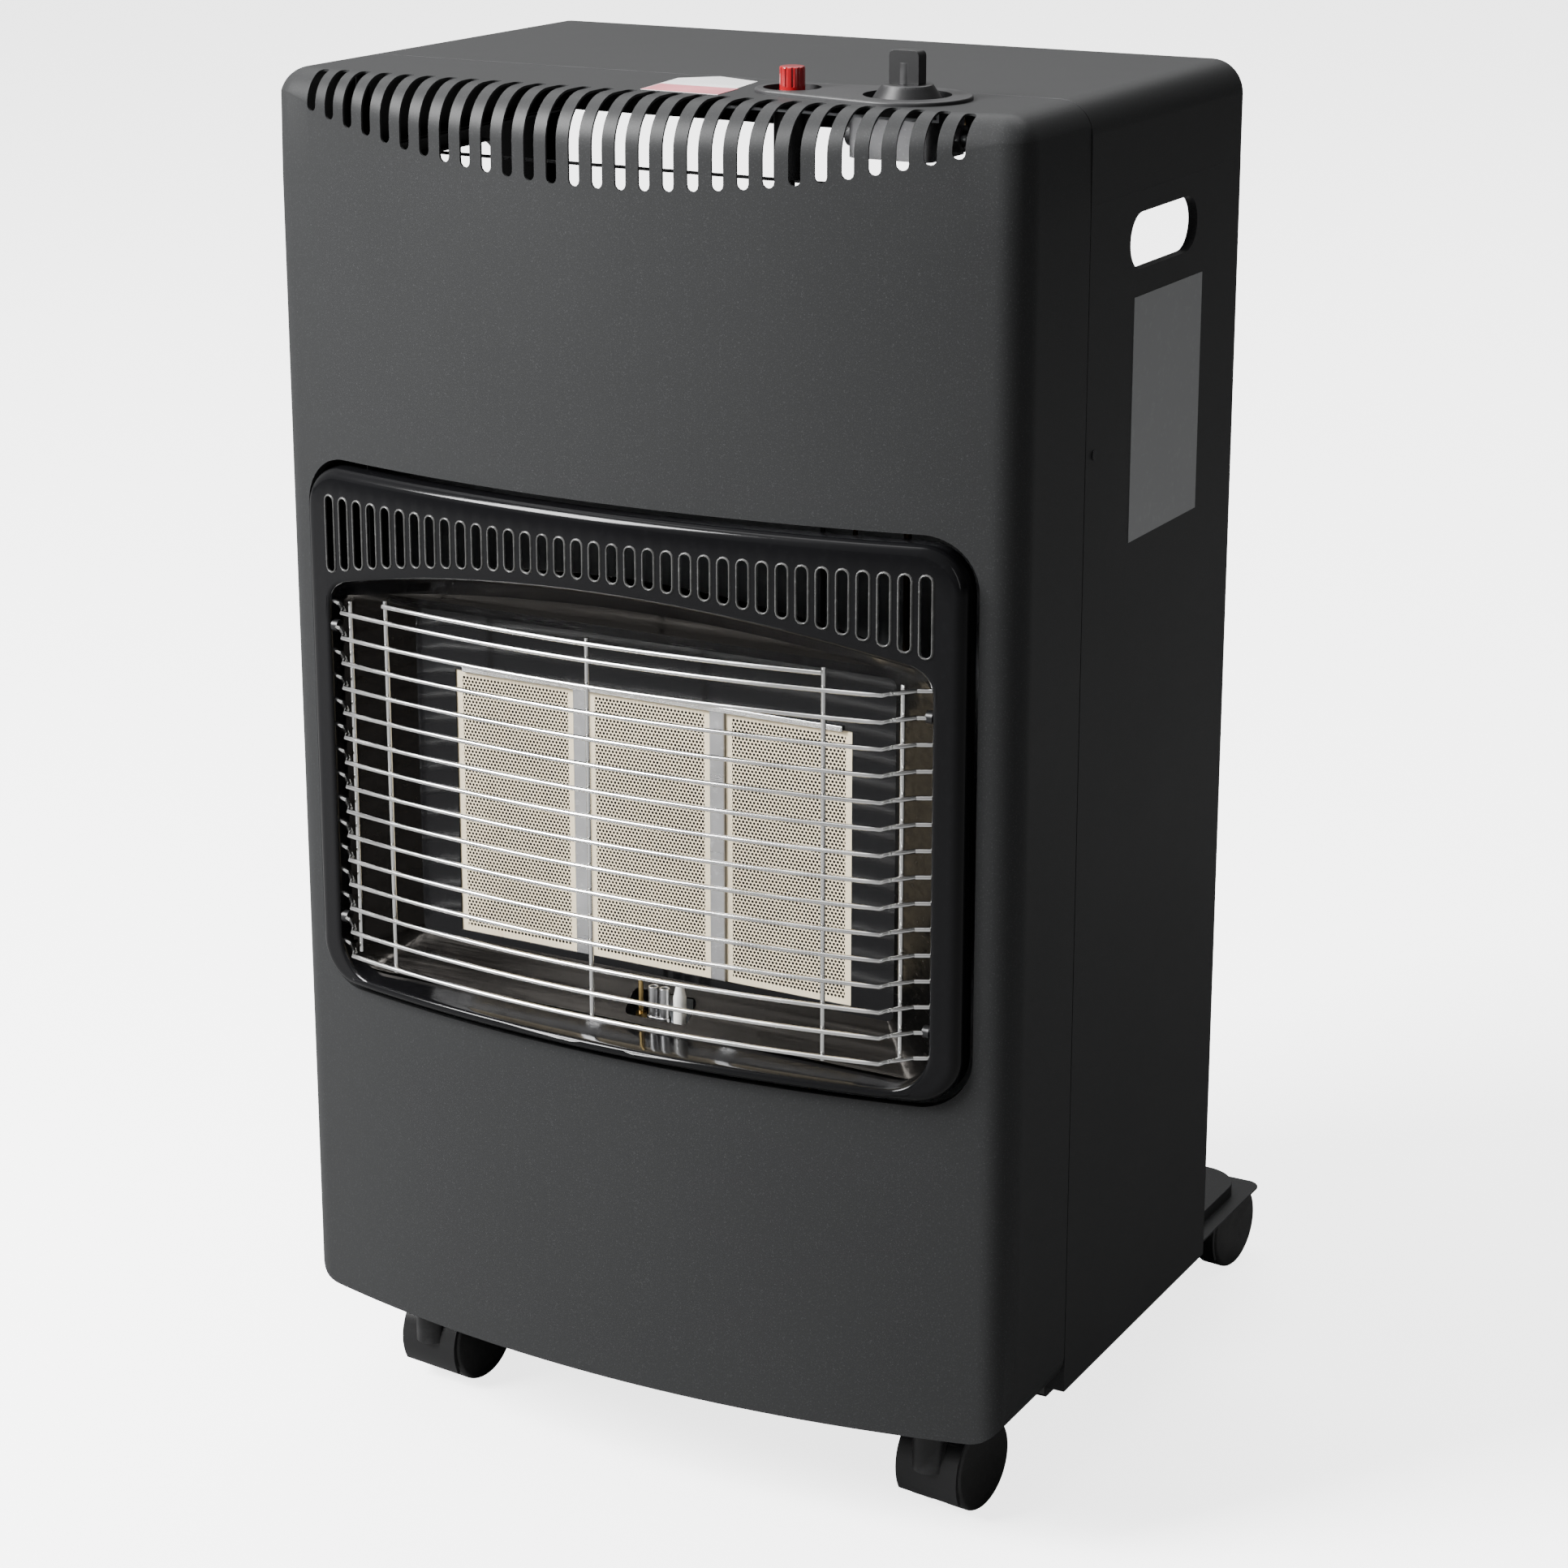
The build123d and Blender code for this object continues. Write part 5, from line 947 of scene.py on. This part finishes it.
# %% Lips round the slots
LIP = [(-0.05, 6.4), (-0.05, 7.35), (0.12, 7.62), (0.38, 7.68), (0.66, 7.5), (0.95, 7.02)]
verts, faces = [], []
for x0 in grille_xs:
    lines = [[on_bow(x, proud, z) for x, z in slot_line(x0, grow)] for grow, proud in LIP]
    start, n = len(verts), len(lines[0])
    verts += [tuple(p) for line in lines for p in line]
    for r in range(len(lines) - 1):
        for k in range(n):
            a, b = start + r * n + k, start + r * n + (k + 1) % n
            faces.append((a, b, b + n, a + n))
lip_mesh = mesh_of("grille_lips", verts, faces)
with opened(lip_mesh) as work:
    face_front(work)
grille_lips = new_object("grille_lips", lip_mesh)
lip_mesh.shade_smooth()
settle(grille_lips, lip_painted_highlight)

# %% [markdown]
# ## Burner
# Each plaque is a slab of pale ceramic with thousands of fine holes in staggered rows, framed by a plain
# border. Geometry Nodes lay the holes: one small tile with an eight-sided pit is instanced on a grid of
# points, every second row half a step to the side, and the result is realised into one mesh. The tree
# ends by giving it two finishes, and a face attribute on the tile says which faces lie in the pit. The
# tile has only seventeen faces because it is repeated thousands of times.

# %% The perforated tile
HOLE_STEP, HOLE_ROW, PIT_R, PIT_DEPTH, PIT_TAPER = 2.1, 1.8, 0.78, 0.9, 0.9
FACE_Y = -58.7


def pit_tile(name):
    """A tile lying in X and Z that faces the front, with an eight-sided pit in its middle."""
    a, b = HOLE_STEP / 2, HOLE_ROW / 2
    rim = [(a, 0), (a, b), (0, b), (-a, b), (-a, 0), (-a, -b), (0, -b), (a, -b)]
    hole = [(PIT_R * cos(k * pi / 4), PIT_R * sin(k * pi / 4)) for k in range(8)]
    verts = [(x * MM, 0, z * MM) for x, z in rim + hole]
    verts += [(x * MM * PIT_TAPER, PIT_DEPTH * MM, z * MM * PIT_TAPER) for x, z in hole]
    faces = [(r + k, r + (k + 1) % 8, r + 8 + (k + 1) % 8, r + 8 + k) for r in (0, 8) for k in range(8)]
    mesh = mesh_of(name, verts, faces + [tuple(range(16, 24))])
    with opened(mesh) as work:
        bmesh.ops.recalc_face_normals(work, faces=work.faces)
        face_front(work)
    marks = mesh.attributes.new("in_pit", "BOOLEAN", "FACE")
    marks.data.foreach_set("value", [polygon.center.y > 0.1 * MM for polygon in mesh.polygons])
    return mesh


tile = new_object("pit_tile", pit_tile("pit_tile"))
print("tile faces", len(tile.data.polygons))


# %% Helpers for Geometry Nodes
def geometry_tree(name, inputs):
    """A Geometry Nodes tree with named inputs of the given kinds; also returns its inputs and outputs."""
    tree = bpy.data.node_groups.new(name, "GeometryNodeTree")
    for label, kind in (("Geometry", "Geometry"), *inputs):
        tree.interface.new_socket(label, in_out="INPUT", socket_type="NodeSocket" + kind)
    tree.interface.new_socket("Geometry", in_out="OUTPUT", socket_type="NodeSocketGeometry")
    return tree, tree.nodes.new("NodeGroupInput").outputs, tree.nodes.new("NodeGroupOutput").inputs


def lay_and_coat(tree, points, piece, finish):
    """Puts a piece on every point, makes the copies real and gives them their finish."""
    laid = add_node(tree, "GeometryNodeInstanceOnPoints", {"Points": points, "Instance": piece})
    real = add_node(tree, "GeometryNodeRealizeInstances", {"Geometry": laid.outputs["Instances"]})
    coat = {"Geometry": real.outputs["Geometry"], "Material": finish}
    return add_node(tree, "GeometryNodeSetMaterial", coat).outputs["Geometry"]


# %% Running a tree
def run_tree(name, tree, **values):
    """Runs a Geometry Nodes tree on an empty mesh and returns the result as a plain object."""
    piece = new_object(name, bpy.data.meshes.new(name))
    modifier = piece.modifiers.new("nodes", "NODES")
    modifier.node_group = tree
    sockets = {s.name: s.identifier for s in tree.interface.items_tree if s.in_out == "INPUT"}
    for label, value in values.items():
        modifier[sockets[label.replace("_", " ")]] = value
    graph = bpy.context.evaluated_depsgraph_get()
    plain = bpy.data.meshes.new_from_object(piece.evaluated_get(graph), depsgraph=graph)
    piece.modifiers.clear()
    while len(plain.materials) and plain.materials[0] is None:
        plain.materials.pop(index=0)
    piece.data = plain
    return piece


# %% The tree that lays the tiles
def tile_tree():
    tree, given, put = geometry_tree("staggered_tiles", [
        ("Tile", "Object"), ("Columns", "Int"), ("Rows", "Int"), ("Step", "Float"), ("Row Step", "Float"),
        ("Middle", "Vector"), ("Finish", "Material"), ("Pit Finish", "Material"),
    ])

    def work_out(operation, a, b):
        return calc(tree, operation, a, b)

    columns, rows = given["Columns"], given["Rows"]
    line = add_node(tree, "GeometryNodeMeshLine", {"Count": work_out("MULTIPLY", columns, rows)})
    index = add_node(tree, "GeometryNodeInputIndex", {}).outputs[0]
    column = work_out("MODULO", index, columns)
    row = work_out("FLOOR", work_out("DIVIDE", work_out("ADD", index, 0.5), columns), 0)
    shift = work_out("MULTIPLY", work_out("MODULO", row, 2), 0.5)
    last_column, last_row = work_out("SUBTRACT", columns, 0.5), work_out("SUBTRACT", rows, 1)
    x = work_out("SUBTRACT", work_out("ADD", column, shift), work_out("MULTIPLY", last_column, 0.5))
    z = work_out("SUBTRACT", row, work_out("MULTIPLY", last_row, 0.5))
    flat = {"X": work_out("MULTIPLY", x, given["Step"]), "Z": work_out("MULTIPLY", z, given["Row Step"])}
    flat = add_node(tree, "ShaderNodeCombineXYZ", flat).outputs[0]
    moved = add_node(tree, "ShaderNodeVectorMath", {0: flat, 1: given["Middle"]}, operation="ADD")
    spread = {"Geometry": line.outputs["Mesh"], "Position": moved.outputs[0]}
    points = add_node(tree, "GeometryNodeSetPosition", spread).outputs["Geometry"]
    source = add_node(tree, "GeometryNodeObjectInfo", {"Object": given["Tile"]})
    tiles = lay_and_coat(tree, points, source.outputs["Geometry"], given["Finish"])
    in_pit = add_node(tree, "GeometryNodeInputNamedAttribute", {"Name": "in_pit"}, data_type="BOOLEAN")
    pits = {"Geometry": tiles, "Selection": in_pit.outputs["Attribute"], "Material": given["Pit Finish"]}
    link(tree, add_node(tree, "GeometryNodeSetMaterial", pits).outputs["Geometry"], put["Geometry"])
    return tree


staggered = tile_tree()
print("tree", staggered.name, len(staggered.nodes), "nodes")

# %% Plaques
PLAQUE_PITCH, PLAQUE_MID = 79.9, 353.1
HOLE_COLUMNS, HOLE_ROWS = 31, 76
field_half_w = (HOLE_COLUMNS + 0.5) * HOLE_STEP / 2
field_half_h = HOLE_ROWS * HOLE_ROW / 2


PLAQUE_HALF_W, PLAQUE_HALF_H, PLAQUE_THICK, PLAQUE_EASE = 37.8, 73.5, 12.7, 0.6
CORNERS = ((-1, -1), (1, -1), (1, 1), (-1, 1))


def joined_frames(name, x, z, frames, lid=False):
    """Rectangles (half width, half height, y) joined one to the next, the last one closed."""
    work = bmesh.new()
    rings = [[work.verts.new(at(x + sx * w, y, z + sz * h)) for sx, sz in CORNERS] for w, h, y in frames]
    for a, b in zip(rings, rings[1:]):
        for k in range(4):
            m = (k + 1) % 4
            work.faces.new((a[k], b[k], b[m], a[m]))
    work.faces.new(rings[-1][::-1])
    if lid:
        work.faces.new(rings[0])
    bmesh.ops.recalc_face_normals(work, faces=work.faces)
    mesh = bpy.data.meshes.new(name)
    work.to_mesh(mesh)
    work.free()
    return mesh


def plaque_body(name, x):
    """The slab round the field of holes: a border frame, its sides and its back."""
    border_y = FACE_Y + 0.01
    return joined_frames(name, x, PLAQUE_MID, (
        (field_half_w - HOLE_STEP / 2, field_half_h, border_y),
        (PLAQUE_HALF_W - PLAQUE_EASE, PLAQUE_HALF_H - PLAQUE_EASE, border_y),
        (PLAQUE_HALF_W, PLAQUE_HALF_H, FACE_Y + PLAQUE_EASE),
        (PLAQUE_HALF_W, PLAQUE_HALF_H, FACE_Y + PLAQUE_THICK),
    ))


for label, sign in (("left", -1), ("middle", 0), ("right", 1)):
    field = run_tree(
        "plaque_" + label, staggered, Tile=tile, Columns=HOLE_COLUMNS, Rows=HOLE_ROWS,
        Step=HOLE_STEP * MM, Row_Step=HOLE_ROW * MM, Middle=at(sign * PLAQUE_PITCH, FACE_Y, PLAQUE_MID),
        Finish=burner_ceramic, Pit_Finish=pit_painted_shade,
    )
    with opened(field.data) as work:
        work.from_mesh(plaque_body("border", sign * PLAQUE_PITCH))
    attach(field, "cabinet")
    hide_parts("ceramic_plaque_" + label)
    print(field.name, len(field.data.polygons), "faces", [m.name for m in field.data.materials])
bpy.data.objects.remove(tile)

# %% [markdown]
# Light strips of rolled steel cover the joints between the plaques, and one narrow strip runs across
# them near the top. The dark burner frame, the reflector and the parts behind keep the frame's shape.


# %% Strips over the joints and the parts round the burner
STRIP_Y, STRIP_W, STRIP_H, STRIP_PROUD = -59.5, 8.4, 142.8, 0.8
LEDGE_Z, LEDGE_W, LEDGE_H, LEDGE_PROUD = 425.6, 222.0, 3.0, 1.6
STRIP_EASE = 0.5


def flat_strip(name, x, z, width, height, proud):
    """A thin strip with eased edges that faces the front."""
    ease, corner = STRIP_EASE, STRIP_EASE * 0.3
    profile = ((0.0, 0.0), (0.0, -proud + ease), (-corner, -proud + corner), (-ease, -proud))
    frames = [(width / 2 + grow, height / 2 + grow, STRIP_Y + depth) for grow, depth in profile]
    return new_object(name, joined_frames(name, x, z, frames, lid=True))


for label, x in (("left", -PLAQUE_PITCH / 2), ("right", PLAQUE_PITCH / 2)):
    strip = flat_strip("joint_strip_" + label, x, PLAQUE_MID, STRIP_W, STRIP_H, STRIP_PROUD)
    settle(strip, bright_sheet)
settle(flat_strip("top_ledge", 0.0, LEDGE_Z, LEDGE_W, LEDGE_H, LEDGE_PROUD), plated_wire)
smooth_copy("burner_frame", gloss_enamel, edge=0.15)
smooth_copy("reflector", dark_sheet, edge=0.15)
for label in ("left", "middle", "right"):
    smooth_copy("burner_plenum_" + label, zinc_sheet, edge=0.2)
smooth_copy("mixing_tubes", zinc_sheet)
smooth_copy("burner_brackets", zinc_sheet, edge=0.2)
smooth_copy("gas_manifold", zinc_sheet)
smooth_copy("injectors", yellow_brass)

# %% [markdown]
# ## Wire guard
# Fifteen bars of plated wire follow the bow in front of the surround. Each bends back at its ends and
# hooks outwards into the mouth's side walls. One bar is drawn as a line of points with rounded bends.
# A Geometry Nodes tree gives it a round section and repeats it upwards, because the bars are all alike.

# %% One bar's path
WIRE_R, STAND_OFF = 1.2, 17.7
GUARD_HALF, HOOK_Y, HOOK_END, BEND_R = 161.0, -85.0, 173.6, 5.0
BEND_ROOM, BEND_STEPS, WIRE_SIDES = 7, 6, 12


def rounded_path(points, radius):
    """A line of points whose corners are rounded by arcs of the given radius."""
    line = [Vector(points[0])]
    for before, corner, after in zip(points, points[1:], points[2:]):
        corner = Vector(corner)
        a, b = (Vector(before) - corner).normalized(), (Vector(after) - corner).normalized()
        half = a.angle(b) / 2
        reach = radius / tan(half)
        centre = corner + (a + b).normalized() * radius / sin(half)
        start, end = corner + a * reach - centre, corner + b * reach - centre
        line += [centre + start.slerp(end, k / BEND_STEPS) for k in range(BEND_STEPS + 1)]
    return line + [Vector(points[-1])]


def bow_run(x0, x1, proud, steps):
    """Points along the bow, `proud` mm in front of it."""
    xs = [x0 + (x1 - x0) * k / steps for k in range(steps + 1)]
    return [Vector((x, BOW_CENTRE - sqrt((BOW_R + proud) ** 2 - x * x), 0)) for x in xs]


front_run = bow_run(-GUARD_HALF + BEND_ROOM, GUARD_HALF - BEND_ROOM, STAND_OFF, 48)
bend_at = bow_run(-GUARD_HALF, GUARD_HALF, STAND_OFF, 1)[-1]
right_end = rounded_path([front_run[-1], bend_at, (GUARD_HALF, HOOK_Y, 0), (HOOK_END, HOOK_Y, 0)], BEND_R)
left_end = [Vector((-p.x, p.y, 0)) for p in reversed(right_end)]
bar_path = left_end + front_run[1:-1] + right_end
print("bar points", len(bar_path))


# %% The tree that repeats a wire
def wire_object(name, path, z):
    """A curve along the path, `z` mm above it."""
    curve = bpy.data.curves.new(name, "CURVE")
    curve.dimensions = "3D"
    spline = curve.splines.new("POLY")
    spline.points.add(len(path) - 1)
    for point, p in zip(spline.points, path):
        point.co = (*at(p[0], p[1], p[2] + z), 1)
    return new_object(name, curve)


def wire_tree():
    tree, given, put = geometry_tree("repeated_wire", [
        ("Path", "Object"), ("Radius", "Float"), ("Count", "Int"), ("Step", "Vector"), ("Finish", "Material"),
    ])
    path = add_node(tree, "GeometryNodeObjectInfo", {"Object": given["Path"]})
    circle = {"Resolution": WIRE_SIDES, "Radius": given["Radius"]}
    section = add_node(tree, "GeometryNodeCurvePrimitiveCircle", circle)
    sweep = add_node(tree, "GeometryNodeCurveToMesh", {
        "Curve": path.outputs["Geometry"], "Profile Curve": section.outputs["Curve"], "Fill Caps": True,
    })
    line = add_node(tree, "GeometryNodeMeshLine", {"Count": given["Count"], "Offset": given["Step"]})
    wires = lay_and_coat(tree, line.outputs["Mesh"], sweep.outputs["Mesh"], given["Finish"])
    link(tree, wires, put["Geometry"])
    return tree


repeated_wire = wire_tree()


def repeat_wire(name, path, nodes=(), z=0.0, count=1, pitch=0.0):
    """Runs the tree on one path, and gives the wires their finish, body and frame node."""
    guide = wire_object(name + "_path", path, z)
    wires = run_tree(
        name, repeated_wire, Path=guide, Radius=WIRE_R * MM, Count=count,
        Step=Vector((0, 0, pitch)) * MM, Finish=plated_wire,
    )
    bpy.data.objects.remove(guide)
    wires.data.shade_smooth()
    wires.data.set_sharp_from_angle(angle=radians(50))
    settle(wires, plated_wire, nodes=nodes)


# %% Bars and uprights
GUARD_LOW, GUARD_PITCH, GUARD_COUNT = 274.3, 13.27, 15
CROWN_Z, CROWN_HALF = 468.5, 125.0
UPRIGHT_LOW, UPRIGHT_HIGH, END_UPRIGHT_HIGH = 271.9, 470.9, 462.5
END_UPRIGHT_X, END_UPRIGHT_Y = 158.6, -90.0
behind_bars = STAND_OFF - 2 * WIRE_R
crown_y = bow_run(-CROWN_HALF, 0, behind_bars, 1)[0].y
repeat_wire("guard_bars_wire", bar_path, ["guard_bars"], GUARD_LOW, GUARD_COUNT, GUARD_PITCH)
repeat_wire("guard_crown_wire", bow_run(-CROWN_HALF, CROWN_HALF, STAND_OFF, 40), z=CROWN_Z)
for label, x, y, high, nodes in (
    ("left", -CROWN_HALF, crown_y, UPRIGHT_HIGH, ()),
    ("middle", 0.0, -BOW_DEPTH - STAND_OFF + 2 * WIRE_R, UPRIGHT_HIGH, ["guard_uprights"]),
    ("right", CROWN_HALF, crown_y, UPRIGHT_HIGH, ()),
    ("far_left", -END_UPRIGHT_X, END_UPRIGHT_Y, END_UPRIGHT_HIGH, ()),
    ("far_right", END_UPRIGHT_X, END_UPRIGHT_Y, END_UPRIGHT_HIGH, ()),
):
    repeat_wire("guard_upright_" + label, [(x, y, UPRIGHT_LOW), (x, y, high)], nodes)
smooth_copy("guard_clips", black_plastic)

# %% [markdown]
# ## Pilot
# At the foot of the mouth stands the pilot: a pair of small plated tubes, the tip that senses the flame,
# and a white ceramic insulator with its spark wire.

# %% Pilot parts
smooth_copy("pilot_bracket", zinc_sheet, edge=0.2)
smooth_copy("pilot_burner", bright_sheet, edge=0.15)
smooth_copy("thermocouple_tip", yellow_brass)
smooth_copy("spark_insulator", white_ceramic)
for node, material, slot in (
    ("gas_pipe", zinc_sheet, "steel"),
    ("pilot_pipe", copper_painted_shade, "brass"),
    ("ignition_lead", black_sleeve, "lead"),
    ("thermocouple_lead", copper_painted_shade, "lead"),
):
    smooth_copy(node, material)

# %% [markdown]
# ## Controls
# On the right of the top lies a flat black plate with two round wells. The red cap of the igniter stands
# in the left one, and the knob of the gas valve in the right one.

# %% Controls
smooth_copy("control_plate", plate_plastic, edge=0.3)
smooth_copy("control_bracket", zinc_sheet, edge=0.2)
smooth_copy("valve_body", cast_alloy, edge=0.6)
smooth_copy("inlet_nozzle", yellow_brass)
smooth_copy("valve_spindle", yellow_brass, body="spindle")
smooth_copy("piezo_igniter", black_plastic, edge=0.5)
smooth_copy("control_knob", black_plastic, body="knob", edge=0.8, steps=3)
smooth_copy("knob_skirt", black_plastic, body="knob", edge=0.4)
smooth_copy("igniter_button", red_plastic, body="button", edge=0.25)

# %% [markdown]
# ## Castors, screws and labels
# Each castor is a black moulded hood with a wheel on either side. Hoods turn with the swivel, and every
# wheel rides on its own body, so that it can spin.

# %% Castors
smooth_copy("castor_sockets", black_plastic, edge=0.4)
for label in ("front_left", "front_right", "rear_left", "rear_right"):
    smooth_copy("castor_hood_" + label, black_plastic, body="castor_" + label, edge=0.5)
    smooth_copy("castor_axle_" + label, zinc_sheet, body="castor_" + label)
    for number in (1, 2):
        smooth_copy("castor_wheel_%s_%d" % (label, number), tyre_plastic,
                    body="wheel_%s_%d" % (label, number))

# %% Screws and labels
smooth_copy("panel_screws", powder_coat, edge=0.15)
smooth_copy("shield_screws", zinc_sheet, edge=0.4)
smooth_copy("rating_label", silver_film)


STICKER = [(1.8, -63.5), (45.0, -64.8), (36.7, -10.9), (10.6, -1.5), (-4.5, -17.0)]
BAND = [(1.9, -63.4), (44.9, -64.7), (42.6, -40.0), (-0.6, -40.0)]
STICKER_TOP, BAND_TOP = TOP_Z + 0.16, TOP_Z + 0.2


def film(name, outline, low, high, material, nodes=()):
    """A flat sticker on the top, from its outline in plan."""
    n = len(outline)
    verts = [tuple(at(x, y, z)) for z in (low, high) for x, y in outline]
    faces = [tuple(range(n, 2 * n)), tuple(reversed(range(n)))]
    faces += [(k, (k + 1) % n, n + (k + 1) % n, n + k) for k in range(n)]
    settle(new_object(name, mesh_of(name, verts, faces)), material, nodes=nodes)


film("top_sticker", STICKER, TOP_Z, STICKER_TOP, white_film, ["top_label"])
film("top_sticker_band", BAND, STICKER_TOP, BAND_TOP, pink_film)
